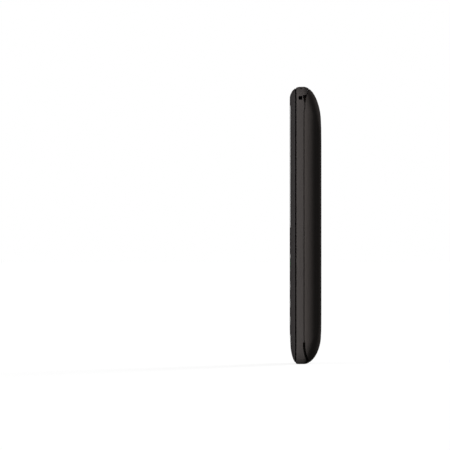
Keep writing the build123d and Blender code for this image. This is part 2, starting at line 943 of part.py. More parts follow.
with BuildPart() as receiver:
    with BuildSketch(level(board_front)):
        with Locations((0, receiver_bottom + receiver_height / 2)):
            RectangleRounded(receiver_width, receiver_height, receiver_radius)
    extrude(amount=receiver_thickness)
    with BuildSketch(level(board_front - receiver_thickness)):
        with Locations((0, slot_middle)):
            SlotOverall(slot_width - mesh_margin, slot_height)
    extrude(amount=-mesh_thickness, mode=Mode.SUBTRACT)
receiver.part.label = "receiver"
export_step(receiver.part, "parts/receiver.step")

with BuildPart() as microphone:
    with BuildSketch(level(board_front)):
        with Locations((microphone_across, microphone_up)):
            Circle(microphone_radius)
    extrude(amount=microphone_thickness)
    with BuildSketch(level(board_front - microphone_thickness)):
        with Locations((microphone_across, microphone_up)):
            Circle(microphone_hole_radius)
    extrude(amount=-mesh_thickness, mode=Mode.SUBTRACT)
microphone.part.label = "microphone"
export_step(microphone.part, "parts/microphone.step")


# Main board, cut away at the strap corner
with BuildPart() as main_board:
    with BuildSketch(level(board_back)):
        with Locations((0, height / 2)):
            RectangleRounded(width - 2 * board_inset, height - 2 * board_inset, board_radius)
        with Locations((width / 2, height)):
            Rectangle(
                2 * (strap_block_width + led_clearance),
                2 * (strap_block_height + led_clearance),
                mode=Mode.SUBTRACT,
            )
        with Locations(*screw_places):
            Circle(board_hole_radius, mode=Mode.SUBTRACT)
    extrude(amount=board_thickness)
main_board.part.label = "main_board"
export_step(main_board.part, "parts/main_board.step")


# Keys
flange_back = front_wall + key_flange_gap + key_flange_thickness

for name, across, up, wide, tall, radius in keys:
    with BuildPart() as key:
        with BuildSketch(level(flange_back)):
            with Locations((across, up)):
                RectangleRounded(wide + 2 * key_flange, tall + 2 * key_flange, radius + key_flange)
        extrude(amount=key_flange_thickness)
        with BuildSketch(level(flange_back)):
            with Locations((across, up)):
                RectangleRounded(wide, tall, radius)
        extrude(amount=flange_back - key_sink)
        chamfer(key.faces().sort_by(Axis.Y)[0].edges(), length=key_bevel)
        with BuildSketch(level(plunger_tip)):
            with Locations((across, up)):
                Circle(plunger_radius)
        extrude(amount=plunger_tip - flange_back)
        if up - tall / 2 < bottom_front_run:
            add(skin, mode=Mode.INTERSECT)
    key.part.label = name
    export_step(key.part, f"parts/{name}.step")

with BuildPart() as ok_key:
    with BuildSketch(level(seat_front)):
        with Locations((0, rocker_middle)):
            Circle(ok_radius)
    extrude(amount=seat_front - key_sink)
    chamfer(ok_key.faces().sort_by(Axis.Y)[0].edges(), length=key_bevel)
    with BuildSketch(level(plunger_tip)):
        with Locations((0, rocker_middle)):
            Circle(plunger_radius)
    extrude(amount=plunger_tip - seat_front)
ok_key.part.label = "ok_key"
export_step(ok_key.part, "parts/ok_key.step")

rocker_back = rocker_flange_depth + rocker_flange_thickness

with BuildPart() as nav_ring:
    with BuildSketch(level(rocker_back)):
        with Locations((0, rocker_middle)):
            RectangleRounded(
                rocker_width + 2 * rocker_flange,
                rocker_height + 2 * rocker_flange,
                rocker_radius + rocker_flange,
            )
    extrude(amount=rocker_flange_thickness)
    with BuildSketch(level(rocker_back)):
        with Locations((0, rocker_middle)):
            RectangleRounded(rocker_width, rocker_height, rocker_radius)
    extrude(amount=rocker_back - key_sink)
    with BuildSketch(level(rocker_back)):
        with Locations((0, rocker_middle)):
            Circle(rocker_hole_radius)
    extrude(amount=rocker_back, mode=Mode.SUBTRACT)
    chamfer(nav_ring.faces().sort_by(Axis.Y)[0].edges(), length=key_bevel)
    with BuildSketch(level(rocker_plunger_tip)):
        with Locations(*rocker_plunger_places):
            Circle(rocker_plunger_radius)
    extrude(amount=rocker_plunger_tip - rocker_back)
nav_ring.part.label = "nav_ring"
export_step(nav_ring.part, "parts/nav_ring.step")

with BuildPart() as nav_seat:
    with BuildSketch(level(seat_back)):
        with Locations((0, rocker_middle)):
            Circle(seat_outer_radius)
            Circle(seat_inner_radius, mode=Mode.SUBTRACT)
    extrude(amount=seat_back - seat_front)
nav_seat.part.label = "nav_seat"
export_step(nav_seat.part, "parts/nav_seat.step")

plunger_places = [(across, up) for name, across, up, wide, tall, radius in keys]
dome_places = plunger_places + rocker_plunger_places + [(0, rocker_middle)]

with BuildPart() as dome_sheet:
    with BuildSketch(level(board_front)):
        with Locations((0, field_middle)):
            RectangleRounded(field_width - 2 * mat_margin, field_height - 2 * mat_margin, mat_radius)
    extrude(amount=dome_sheet_thickness)
    with BuildSketch(level(dome_front)):
        with Locations(*dome_places):
            RegularPolygon(dome_radius, dome_sides)
    extrude(amount=dome_rise)
dome_sheet.part.label = "dome_sheet"
export_step(dome_sheet.part, "parts/dome_sheet.step")

with BuildPart() as keypad_mat:
    with BuildSketch(level(dome_front)):
        with Locations((0, field_middle)):
            RectangleRounded(field_width - 2 * mat_margin, field_height - 2 * mat_margin, mat_radius)
        with Locations(*plunger_places):
            RegularPolygon(mat_hole_radius, dome_sides, mode=Mode.SUBTRACT)
        with Locations((0, rocker_middle)):
            RectangleRounded(
                rocker_width + 4 * rocker_flange,
                rocker_height + 4 * rocker_flange,
                rocker_radius,
                mode=Mode.SUBTRACT,
            )
    extrude(amount=dome_front - mat_front)
keypad_mat.part.label = "keypad_mat"
export_step(keypad_mat.part, "parts/keypad_mat.step")


# Bottom end: charging port and its two contacts
with BuildPart() as usb_shell:
    with BuildSketch(end_plane(usb_sink)):
        with Locations((0, usb_depth)):
            SlotOverall(usb_width, usb_height)
            SlotOverall(usb_width - 2 * usb_wall, usb_height - 2 * usb_wall, mode=Mode.SUBTRACT)
    extrude(amount=usb_length)
usb_shell.part.label = "usb_shell"
export_step(usb_shell.part, "parts/usb_shell.step")

with BuildPart() as usb_tongue:
    with BuildSketch(end_plane(usb_sink + usb_length - tongue_base)):
        with Locations((0, usb_depth)):
            SlotOverall(usb_width - 2 * (usb_wall + usb_fit), usb_height - 2 * (usb_wall + usb_fit))
    extrude(amount=tongue_base)
    with BuildSketch(end_plane(usb_sink + tongue_start)):
        with Locations((0, usb_depth)):
            Rectangle(tongue_width, tongue_thickness)
    extrude(amount=usb_length - tongue_base - tongue_start)
usb_tongue.part.label = "usb_tongue"
export_step(usb_tongue.part, "parts/usb_tongue.step")

with BuildPart() as charge_contacts:
    with BuildSketch(end_plane(contact_sink)):
        with Locations((-contact_across, contact_depth), (contact_across, contact_depth)):
            Circle(contact_radius)
    extrude(amount=contact_length)
    with BuildSketch(end_plane(contact_sink + contact_length - contact_leg_thickness)):
        with Locations(
            (-contact_across, (board_back + contact_depth) / 2),
            (contact_across, (board_back + contact_depth) / 2),
        ):
            Rectangle(contact_leg_width, contact_depth - board_back)
    extrude(amount=contact_leg_thickness)
charge_contacts.part.label = "charge_contacts"
export_step(charge_contacts.part, "parts/charge_contacts.step")


# Top end: torch lens, with a face that follows the top end, and its lamp
with BuildPart() as torch_lens:
    with BuildSketch(end_plane(torch_back)):
        with Locations((torch_across, torch_depth)):
            Circle(torch_radius)
    extrude(amount=height - torch_back + overrun)
    add(skin, mode=Mode.INTERSECT)
torch_lens.part.label = "torch_lens"
export_step(torch_lens.part, "parts/torch_lens.step")

with BuildPart() as torch_led:
    with BuildSketch(end_plane(board_top - led_length)):
        with Locations((torch_across, board_back + led_depth / 2)):
            Rectangle(led_width, led_depth)
    extrude(amount=led_length)
torch_led.part.label = "torch_led"
export_step(torch_led.part, "parts/torch_led.step")


# Battery and its connector
with BuildPart() as battery:
    with BuildSketch(level(battery_front + battery_thickness)):
        with Locations((0, battery_middle)):
            RectangleRounded(battery_width, battery_height, battery_radius)
    extrude(amount=battery_thickness)
battery.part.label = "battery"
export_step(battery.part, "parts/battery.step")

connector_bottom = battery_top + battery_clearance

with BuildPart() as battery_connector:
    with BuildSketch(level(connector_depth)):
        with Locations((0, connector_bottom + connector_length / 2)):
            Rectangle(connector_width, connector_length)
    extrude(amount=connector_depth - board_back)
    with BuildSketch(end_plane(battery_top + usb_fit)):
        with Locations((0, (battery_front + connector_depth) / 2)):
            with GridLocations(blade_pitch, blade_pitch, 3, 1):
                Rectangle(blade_thickness, blade_width)
    extrude(amount=battery_clearance - usb_fit)
battery_connector.part.label = "battery_connector"
export_step(battery_connector.part, "parts/battery_connector.step")


# Card sockets: stamped shells over a contact floor, open towards the battery
def card_socket(across):
    """A card socket behind the board, with the slot for its card and a window in its back."""
    back = board_back + socket_thickness
    with BuildPart() as socket:
        with BuildSketch(level(back)):
            with Locations((across, socket_middle)):
                Rectangle(socket_width, socket_height)
        extrude(amount=socket_thickness)
        with BuildSketch(level(back - socket_wall)):
            with Locations((across, socket_middle - socket_end_wall)):
                Rectangle(card_width, socket_height)
        extrude(amount=socket_thickness - 2 * socket_wall, mode=Mode.SUBTRACT)
        with BuildSketch(level(back)):
            with Locations((across, socket_middle)):
                Rectangle(socket_window_width, socket_window_height)
        extrude(amount=socket_wall, mode=Mode.SUBTRACT)
    return socket.part


for name, place in (("sim_socket_1", -1), ("sim_socket_2", 0)):
    across = place * socket_pitch
    with BuildPart() as sim_socket:
        add(card_socket(across))
        with BuildSketch(level(board_back + socket_wall)):
            with Locations((across, socket_middle)):
                with GridLocations(contact_pitch, contact_pitch, 2, 3):
                    Rectangle(contact_pad, contact_pad)
        extrude(amount=-contact_pad_rise)
    sim_socket.part.label = name
    export_step(sim_socket.part, f"parts/{name}.step")

with BuildPart() as sd_socket:
    add(card_socket(socket_pitch))
    with BuildSketch(level(board_back + socket_wall)):
        with Locations((socket_pitch, socket_middle)):
            with GridLocations(sd_contact_pitch, sd_contact_pitch, sd_contact_count, 1):
                Rectangle(sd_contact_width, sd_contact_length)
    extrude(amount=-contact_pad_rise)
sd_socket.part.label = "sd_socket"
export_step(sd_socket.part, "parts/sd_socket.step")


# Camera and its window
with BuildPart() as camera_module:
    with BuildSketch(level(deck_back + camera_base)):
        with Locations((0, camera_up)):
            Rectangle(camera_size, camera_size)
    extrude(amount=camera_base)
    with BuildSketch(level(camera_barrel_end)):
        with Locations((0, camera_up)):
            Circle(camera_barrel_radius)
    extrude(amount=camera_barrel_end - deck_back - camera_base)
    with BuildSketch(level(camera_barrel_end)):
        with Locations((0, camera_up)):
            Circle(lens_bore_radius)
    extrude(amount=lens_bore_depth, mode=Mode.SUBTRACT)
camera_module.part.label = "camera_module"
export_step(camera_module.part, "parts/camera_module.step")

with BuildPart() as camera_window:
    with BuildSketch(level(camera_window_back)):
        with Locations((0, camera_up)):
            Circle(camera_window_radius)
    extrude(amount=camera_window_back - (thickness - cover_wall + camera_ledge_thickness))
camera_window.part.label = "camera_window"
export_step(camera_window.part, "parts/camera_window.step")


# Loudspeaker, its sealing frame, and the mesh behind the grille
with BuildPart() as loudspeaker:
    with BuildSketch(level(speaker_back)):
        with Locations((0, speaker_middle)):
            RectangleRounded(speaker_width, speaker_height, speaker_radius)
    extrude(amount=speaker_thickness)
    with BuildSketch(level(speaker_back + speaker_seal)):
        with Locations((0, grille_middle)):
            RectangleRounded(
                grille_width + 2 * speaker_seal_wall,
                grille_count * grille_pitch + 2 * speaker_seal_wall,
                speaker_seal_wall,
            )
            Rectangle(grille_width, grille_count * grille_pitch, mode=Mode.SUBTRACT)
    extrude(amount=speaker_seal)
loudspeaker.part.label = "loudspeaker"
export_step(loudspeaker.part, "parts/loudspeaker.step")

with BuildPart() as speaker_mesh:
    with BuildSketch(level(thickness - cover_wall)):
        with Locations((0, grille_middle)):
            RectangleRounded(
                grille_width + 2 * grille_margin,
                grille_count * grille_pitch + 2 * grille_margin,
                grille_margin,
            )
    extrude(amount=mesh_thickness)
speaker_mesh.part.label = "speaker_mesh"
export_step(speaker_mesh.part, "parts/speaker_mesh.step")


# Vibration motor: a can on a saddle, and an eccentric weight that turns above it
with BuildPart() as motor_body:
    with BuildSketch(end_plane(motor_bottom)):
        with Locations((motor_across, motor_depth)):
            Circle(motor_radius)
    extrude(amount=motor_length)
    with BuildSketch(level(motor_saddle_back)):
        with Locations((motor_across, motor_bottom + motor_length / 2)):
            Rectangle(motor_saddle_width, motor_length - weight_gap)
    extrude(amount=motor_saddle_back - deck_back)
    with BuildSketch(end_plane(motor_top - shaft_engagement - shaft_clearance)):
        with Locations((motor_across, motor_depth)):
            Circle(shaft_radius + shaft_clearance)
    extrude(amount=shaft_engagement + shaft_clearance, mode=Mode.SUBTRACT)
motor_body.part.label = "motor_body"
export_step(motor_body.part, "parts/motor_body.step")

with BuildPart() as motor_weight:
    with BuildSketch(end_plane(motor_top + weight_gap)):
        with Locations((motor_across, motor_depth)):
            Circle(weight_radius)
        with Locations((motor_across - weight_radius, motor_depth)):
            Rectangle(2 * weight_radius, 2 * weight_radius, mode=Mode.SUBTRACT)
        with Locations((motor_across, motor_depth)):
            Circle(weight_hub_radius)
    extrude(amount=weight_length)
    with BuildSketch(end_plane(motor_top - shaft_engagement)):
        with Locations((motor_across, motor_depth)):
            Circle(shaft_radius)
    extrude(amount=shaft_engagement + weight_gap + weight_length)
motor_weight.part.label = "motor_weight"
export_step(motor_weight.part, "parts/motor_weight.step")


# Shield cans on the back of the board
with BuildPart() as shield_cans:
    with BuildSketch(level(board_back + can_thickness)):
        with Locations((0, battery_middle)):
            with GridLocations(2 * can_across, can_pitch_up, 2, 2):
                RectangleRounded(can_width, can_height, can_radius)
    extrude(amount=can_thickness)
    with BuildSketch(level(board_back + can_thickness - can_wall)):
        with Locations((0, battery_middle)):
            with GridLocations(2 * can_across, can_pitch_up, 2, 2):
                Rectangle(can_width - 2 * can_wall, can_height - 2 * can_wall)
    extrude(amount=can_thickness - can_wall, mode=Mode.SUBTRACT)
shield_cans.part.label = "shield_cans"
export_step(shield_cans.part, "parts/shield_cans.step")


# Antenna on the deck
with BuildPart() as antenna:
    with BuildSketch(level(deck_back + antenna_thickness)):
        with Locations((0, antenna_bottom + antenna_height / 2)):
            Rectangle(antenna_width, antenna_height)
            Rectangle(antenna_slot_width, antenna_slot_height, mode=Mode.SUBTRACT)
    extrude(amount=antenna_thickness)
antenna.part.label = "antenna"
export_step(antenna.part, "parts/antenna.step")


# Screws
head_front = deck_back - screw_head_thickness

with BuildPart() as frame_screws:
    with BuildSketch(level(deck_back)):
        with Locations(*screw_places):
            Circle(screw_head_radius)
    extrude(amount=screw_head_thickness)
    with BuildSketch(level(head_front)):
        with Locations(*screw_places):
            Circle(screw_shaft_radius)
    extrude(amount=head_front - screw_tip)
    with BuildSketch(level(deck_back)):
        with Locations(*screw_places):
            Rectangle(cross_length, cross_width)
            Rectangle(cross_width, cross_length)
    extrude(amount=cross_depth, mode=Mode.SUBTRACT)
frame_screws.part.label = "frame_screws"
export_step(frame_screws.part, "parts/frame_screws.step")
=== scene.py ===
from math import pi, radians, sqrt

import bpy
from bpy.props import FloatProperty, FloatVectorProperty, IntProperty, PointerProperty
from bpy.types import Operator, Panel, PropertyGroup
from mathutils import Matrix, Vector


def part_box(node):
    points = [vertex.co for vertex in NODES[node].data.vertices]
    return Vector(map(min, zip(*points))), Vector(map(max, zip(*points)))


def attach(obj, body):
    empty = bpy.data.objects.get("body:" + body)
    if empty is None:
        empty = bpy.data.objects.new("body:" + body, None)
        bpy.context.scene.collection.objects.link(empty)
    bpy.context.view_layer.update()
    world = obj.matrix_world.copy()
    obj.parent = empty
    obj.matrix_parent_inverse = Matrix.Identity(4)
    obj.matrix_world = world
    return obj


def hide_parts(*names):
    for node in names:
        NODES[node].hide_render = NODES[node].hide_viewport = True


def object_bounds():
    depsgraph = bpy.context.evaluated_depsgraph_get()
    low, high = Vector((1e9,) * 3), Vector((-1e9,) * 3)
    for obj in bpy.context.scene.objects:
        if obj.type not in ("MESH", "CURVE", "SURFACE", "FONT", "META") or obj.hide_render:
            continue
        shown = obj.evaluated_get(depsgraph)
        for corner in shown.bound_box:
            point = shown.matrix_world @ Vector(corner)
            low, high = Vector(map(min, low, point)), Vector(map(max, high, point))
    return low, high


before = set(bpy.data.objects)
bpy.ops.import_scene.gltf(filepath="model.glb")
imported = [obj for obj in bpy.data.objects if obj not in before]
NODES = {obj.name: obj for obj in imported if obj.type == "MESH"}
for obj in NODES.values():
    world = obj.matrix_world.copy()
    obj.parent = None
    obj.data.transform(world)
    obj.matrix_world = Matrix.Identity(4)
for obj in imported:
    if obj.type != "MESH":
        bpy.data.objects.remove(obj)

bl_info = {
    "name": "Bar Phone",
    "version": (1, 0, 0),
    "blender": (4, 5, 0),
    "location": "3D View > Sidebar > Phone",
    "description": "Finishes, key legends and small fittings of a bar phone with a keypad",
    "category": "Add Mesh",
}

CAD_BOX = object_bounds()
MM = 0.001

# The photograph's frame is 450 pixels square, and the phone's right side stands in it
# between these pixels
FRAME_PIXELS = 450
SIDE_LEFT_PIXEL = 290.03
SIDE_RIGHT_PIXEL = 321.08
SIDE_BOTTOM_PIXEL = 363.5

# A long lens from far off, because the photograph has no perspective: lens and sensor in
# millimetres, and the nearest and farthest that the camera shows in metres
CAMERA_LENS = 800
CAMERA_SENSOR = 36
CAMERA_CLIP = (0.1, 100)

# Lamps: name, direction that the light comes from, strength, and how many degrees wide
LAMPS = (
    ("front_right_lamp", (0.74, -0.67, 0.06), 4.1, 16),
    ("back_left_lamp", (-0.92, 0.34, 0.2), 3.5, 14),
    ("overhead_lamp", (0.0, 0.0, 1.0), 0.55, 50),
)
WORLD_FILL = 0.05

# The floor's width in metres, its greys where light bounces off it and where it is seen,
# and its glow where it is seen
FLOOR_SIZE = 24
FLOOR_BOUNCE = (0.19, 0.21)
FLOOR_SEEN = (0.29, 0.3)
FLOOR_GLOW = 0.86

# Sides of a round fitting
ROUND_SIDES = 56

# Seals in the parting gap, near-black strips that also stand in as painted shade of the
# gap,
# in millimetres: the section's middle line, as back and in from the end, and each strip's
# first and last place across
SEAL_SECTION_BOTTOM = ((1.49, 0.8), (1.3, 1.08), (1.12, 1.42), (0.96, 1.76))
SEAL_SECTION_TOP = ((1.42, 0.88), (1.27, 1.13), (1.12, 1.42), (0.96, 1.76))
SEAL_RUNS_BOTTOM = ((-17, -5.3), (5.3, 17))
SEAL_RUNS_TOP = ((-17, 3.2),)

# The top end's curve behind its highest line, in millimetres: where it starts behind the
# front face, how far back it reaches and how far down it runs
TOP_CURVE_START = 5.9
TOP_CURVE_REACH = 8.1
TOP_CURVE_RUN = 17.5

# Contacts on the socket floors: how many across and up, their pitch and their size in
# millimetres
CARD_CONTACTS = (
    ("sim_socket_1", 2, 3, 2.54, (1.6, 0.04, 1.6)),
    ("sim_socket_2", 2, 3, 2.54, (1.6, 0.04, 1.6)),
    ("sd_socket", 8, 1, 1.1, (0.7, 0.04, 2.6)),
)

DIGIT_KEYS = {
    "key_1": "1",
    "key_2": "2",
    "key_3": "3",
    "key_4": "4",
    "key_5": "5",
    "key_6": "6",
    "key_7": "7",
    "key_8": "8",
    "key_9": "9",
    "key_star": "*",
    "key_0": "0",
    "key_hash": "#",
}


class PhoneFinish(PropertyGroup):
    """Colours of the phone's finishes."""

    frame_colour: FloatVectorProperty(
        name="Frame",
        description="Moulded plastic of the middle frame",
        subtype="COLOR",
        default=(0.073, 0.0655, 0.063),
        min=0,
        max=1,
    )
    cover_colour: FloatVectorProperty(
        name="Back cover",
        description="Moulded plastic of the back cover",
        subtype="COLOR",
        default=(0.085, 0.075, 0.071),
        min=0,
        max=1,
    )
    front_colour: FloatVectorProperty(
        name="Front cover",
        description="Moulded plastic of the front cover",
        subtype="COLOR",
        default=(0.036, 0.033, 0.033),
        min=0,
        max=1,
    )
    key_colour: FloatVectorProperty(
        name="Keys",
        description="Plastic of the key caps",
        subtype="COLOR",
        default=(0.035, 0.033, 0.033),
        min=0,
        max=1,
    )
    legend_colour: FloatVectorProperty(
        name="Legends",
        description="Paint of the key legends",
        subtype="COLOR",
        default=(0.78, 0.78, 0.76),
        min=0,
        max=1,
    )
    call_colour: FloatVectorProperty(
        name="Call mark",
        description="Paint of the mark on the call key",
        subtype="COLOR",
        default=(0.05, 0.45, 0.12),
        min=0,
        max=1,
    )
    end_colour: FloatVectorProperty(
        name="End mark",
        description="Paint of the mark on the end key",
        subtype="COLOR",
        default=(0.55, 0.03, 0.03),
        min=0,
        max=1,
    )
    gold_colour: FloatVectorProperty(
        name="Gold",
        description="Plating of the charging contacts",
        subtype="COLOR",
        default=(0.62, 0.39, 0.06),
        min=0,
        max=1,
    )


class PhoneSizes(PropertyGroup):
    """Sizes of the fittings that are added to the frame."""

    digit_height: FloatProperty(
        name="Digit height",
        description="Height of a digit on its key",
        default=3.9 * MM,
        min=1 * MM,
        max=6 * MM,
        unit="LENGTH",
    )
    legend_rise: FloatProperty(
        name="Legend rise",
        description="How far a legend stands above its key",
        default=0.03 * MM,
        min=0.01 * MM,
        max=0.1 * MM,
        unit="LENGTH",
    )
    bead_swell: FloatProperty(
        name="Bead swell",
        description="How far the gasket's bead stands out in its groove",
        default=0.3 * MM,
        min=0,
        max=0.4 * MM,
        unit="LENGTH",
    )
    port_pad_count: IntProperty(
        name="Port contacts",
        description="Contacts along one face of the charging port's tongue",
        default=12,
        min=2,
        max=12,
    )


# Small helpers


def deselect():
    """Nothing stays selected, so an operator works only on what is added next."""
    if bpy.context.object and bpy.context.object.mode != "OBJECT":
        bpy.ops.object.mode_set(mode="OBJECT")
    bpy.ops.object.select_all(action="DESELECT")


def pick(*pieces):
    """Selects these pieces alone and makes the first one active."""
    deselect()
    for piece in pieces:
        piece.select_set(True)
    bpy.context.view_layer.objects.active = pieces[0]


def settle(piece, name):
    """Applies a piece's place and turn to its mesh and names it."""
    pick(piece)
    bpy.ops.object.transform_apply(location=True, rotation=True, scale=True)
    piece.name = name
    piece.data.name = name
    return piece


def join(pieces, name):
    """Joins like pieces into one."""
    pick(*pieces)
    if len(pieces) > 1:
        bpy.ops.object.join()
    return settle(bpy.context.object, name)


def copy_at(piece, shift):
    """A copy of a piece with its own mesh, moved by a shift."""
    pick(piece)
    bpy.ops.object.duplicate(linked=False)
    bpy.ops.transform.translate(value=shift)
    return bpy.context.object


def edit_all(piece):
    """Goes to edit mode with the whole mesh selected."""
    pick(piece)
    bpy.ops.object.mode_set(mode="EDIT")
    bpy.ops.mesh.select_all(action="SELECT")


def edit_chosen(piece, kind, test):
    """Goes to edit mode with only the faces or the points selected that pass a test."""
    pick(piece)
    bpy.ops.object.mode_set(mode="EDIT")
    bpy.ops.mesh.select_mode(type=kind)
    bpy.ops.mesh.select_all(action="DESELECT")
    bpy.ops.object.mode_set(mode="OBJECT")
    parts = piece.data.polygons if kind == "FACE" else piece.data.vertices
    for part in parts:
        part.select = test(part)
    bpy.ops.object.mode_set(mode="EDIT")


def end_edit():
    """Goes back to object mode."""
    bpy.ops.object.mode_set(mode="OBJECT")


def smooth(piece, degrees=35):
    """Shades a piece smooth, apart from its sharp edges."""
    pick(piece)
    bpy.ops.object.shade_smooth_by_angle(angle=radians(degrees))
    return piece


def apply_modifiers(piece):
    """Applies every modifier of a piece, in order."""
    pick(piece)
    for modifier in list(piece.modifiers):
        bpy.ops.object.modifier_apply(modifier=modifier.name)


def thicken(piece, thickness):
    """Gives a sheet its thickness, half to each side."""
    modifier = piece.modifiers.new("Thickness", "SOLIDIFY")
    modifier.thickness = thickness
    modifier.offset = 0
    apply_modifiers(piece)


def bevel(piece, width, segments=2):
    """Rounds a piece's edges."""
    modifier = piece.modifiers.new("Round", "BEVEL")
    modifier.width = width
    modifier.segments = segments
    modifier.limit_method = "ANGLE"
    apply_modifiers(piece)
    return piece


def block(centre, size, round_width):
    """A small bar with rounded edges."""
    deselect()
    bpy.ops.mesh.primitive_cube_add(size=1, location=centre)
    piece = bpy.context.object
    piece.scale = size
    bpy.ops.object.transform_apply(location=False, rotation=False, scale=True)
    return bevel(piece, round_width)


def turned_cup(centre, turn, radius, depth, lip, sink, round_width):
    """A ring with a floor: a short cylinder whose far end is inset and then sunk."""
    deselect()
    bpy.ops.mesh.primitive_cylinder_add(
        vertices=ROUND_SIDES, radius=radius, depth=depth, location=centre, rotation=turn
    )
    piece = bpy.context.object
    outward = Vector((0, 0, 1))
    edit_chosen(piece, "FACE", lambda face: face.normal.dot(outward) > 0.9)
    bpy.ops.mesh.inset(thickness=lip)
    axis = piece.matrix_world.to_3x3() @ outward
    bpy.ops.mesh.extrude_region_move(TRANSFORM_OT_translate={"value": -sink * axis})
    end_edit()
    bevel(piece, round_width)
    return smooth(piece)


def flat_ring(centre, turn, outer, inner, thickness, round_width):
    """A flat washer: a circle whose edge is drawn inwards and then made thick."""
    deselect()
    bpy.ops.mesh.primitive_circle_add(
        vertices=ROUND_SIDES, radius=outer, location=centre, rotation=turn
    )
    piece = bpy.context.object
    edit_all(piece)
    bpy.ops.mesh.extrude_region_move()
    bpy.ops.transform.resize(value=[inner / outer] * 3, center_override=centre)
    end_edit()
    thicken(piece, thickness)
    edit_all(piece)
    bpy.ops.mesh.normals_make_consistent(inside=False)
    end_edit()
    bevel(piece, round_width)
    return smooth(piece)


def low_dome(centre, turn, radius, rise):
    """A shallow lens: the upper half of a ball, cut off flat and pressed low."""
    deselect()
    bpy.ops.mesh.primitive_uv_sphere_add(
        segments=40, ring_count=20, radius=radius, location=centre, rotation=turn
    )
    piece = bpy.context.object
    axis = piece.matrix_world.to_3x3() @ Vector((0, 0, 1))
    edit_all(piece)
    bpy.ops.mesh.bisect(
        plane_co=piece.location, plane_no=axis, use_fill=True, clear_inner=True
    )
    end_edit()
    piece.scale.z = rise / radius
    return smooth(piece, 60)


def dress(piece, material):
    """Gives a piece one material."""
    piece.data.materials.clear()
    piece.data.materials.append(material)


# Materials


def start_material(name):
    """A new material, its node tree, its shader and its object coordinates."""
    material = bpy.data.materials.new(name)
    material.use_nodes = True
    tree = material.node_tree
    place = tree.nodes.new("ShaderNodeTexCoord").outputs["Object"]
    return material, tree, tree.nodes["Principled BSDF"], place


def noise(tree, place, size, detail=2.0):
    """Noise with features of about the given size in metres."""
    texture = tree.nodes.new("ShaderNodeTexNoise")
    texture.inputs["Scale"].default_value = 1 / size
    texture.inputs["Detail"].default_value = detail
    tree.links.new(place, texture.inputs["Vector"])
    return texture.outputs["Fac"]


def ramp(tree, value, low, high):
    """Maps a 0 to 1 value to the range from low to high."""
    node = tree.nodes.new("ShaderNodeMapRange")
    node.inputs["To Min"].default_value = low
    node.inputs["To Max"].default_value = high
    tree.links.new(value, node.inputs["Value"])
    return node.outputs["Result"]


def calculate(tree, operation, first, second):
    """Works on a value and another value or a number."""
    node = tree.nodes.new("ShaderNodeMath")
    node.operation = operation
    tree.links.new(first, node.inputs[0])
    if isinstance(second, float):
        node.inputs[1].default_value = second
    else:
        tree.links.new(second, node.inputs[1])
    return node.outputs["Value"]


def seen_directly(tree):
    """1 for what the camera, a mirror or a clear piece shows, 0 where light bounces."""
    path = tree.nodes.new("ShaderNodeLightPath")
    total = path.outputs["Is Camera Ray"]
    for name in ("Is Glossy Ray", "Is Transmission Ray"):
        total = calculate(tree, "ADD", total, path.outputs[name])
        total.node.use_clamp = True
    return total


def mix_colours(tree, share, first, second):
    """Goes from the first colour to the second with a 0 to 1 value."""
    mix = tree.nodes.new("ShaderNodeMix")
    mix.data_type = "RGBA"
    mix.inputs["A"].default_value = [*first, 1]
    mix.inputs["B"].default_value = [*second, 1]
    tree.links.new(share, mix.inputs["Factor"])
    return mix.outputs["Result"]


def vary_colour(tree, shader, value, base, spread):
    """Varies a colour's brightness by a small share either way."""
    dark = [c * (1 - spread) for c in base]
    light = [min(1, c * (1 + spread)) for c in base]
    tree.links.new(mix_colours(tree, value, dark, light), shader.inputs["Base Color"])


def vary_gloss(tree, shader, value, roughness, spread):
    """Varies the roughness a little either way."""
    level = ramp(tree, value, roughness - spread, roughness + spread)
    tree.links.new(level, shader.inputs["Roughness"])


def bump(tree, shader, value, depth):
    """Raises a surface by a noise value."""
    node = tree.nodes.new("ShaderNodeBump")
    node.inputs["Distance"].default_value = depth
    node.inputs["Strength"].default_value = 0.5
    tree.links.new(value, node.inputs["Height"])
    tree.links.new(node.outputs["Normal"], shader.inputs["Normal"])


def moulded_plastic(name, base, roughness, grain=0.16 * MM, depth=0.006 * MM):
    """Satin plastic from a lightly etched mould: fine grain, and a faint slow change of
    gloss."""
    material, tree, shader, place = start_material(name)
    slow = noise(tree, place, 9 * MM)
    vary_colour(tree, shader, slow, base, 0.05)
    vary_gloss(tree, shader, slow, roughness, 0.03)
    shader.inputs["Specular IOR Level"].default_value = 0.0
    bump(tree, shader, noise(tree, place, grain), depth)
    return material


def plated_metal(name, base, roughness, grain=0.3 * MM):
    """Stamped and plated metal with a faint brushed change of gloss."""
    material, tree, shader, place = start_material(name)
    fine = noise(tree, place, grain)
    vary_colour(tree, shader, noise(tree, place, 2 * MM, 3.0), base, 0.06)
    vary_gloss(tree, shader, fine, roughness, 0.06)
    shader.inputs["Metallic"].default_value = 1.0
    bump(tree, shader, fine, 0.002 * MM)
    return material


def paint(name, base, roughness=0.55):
    """Printed paint of a legend, a little uneven."""
    material, tree, shader, place = start_material(name)
    fine = noise(tree, place, 0.2 * MM)
    vary_colour(tree, shader, fine, base, 0.04)
    vary_gloss(tree, shader, fine, roughness, 0.05)
    bump(tree, shader, fine, 0.002 * MM)
    return material


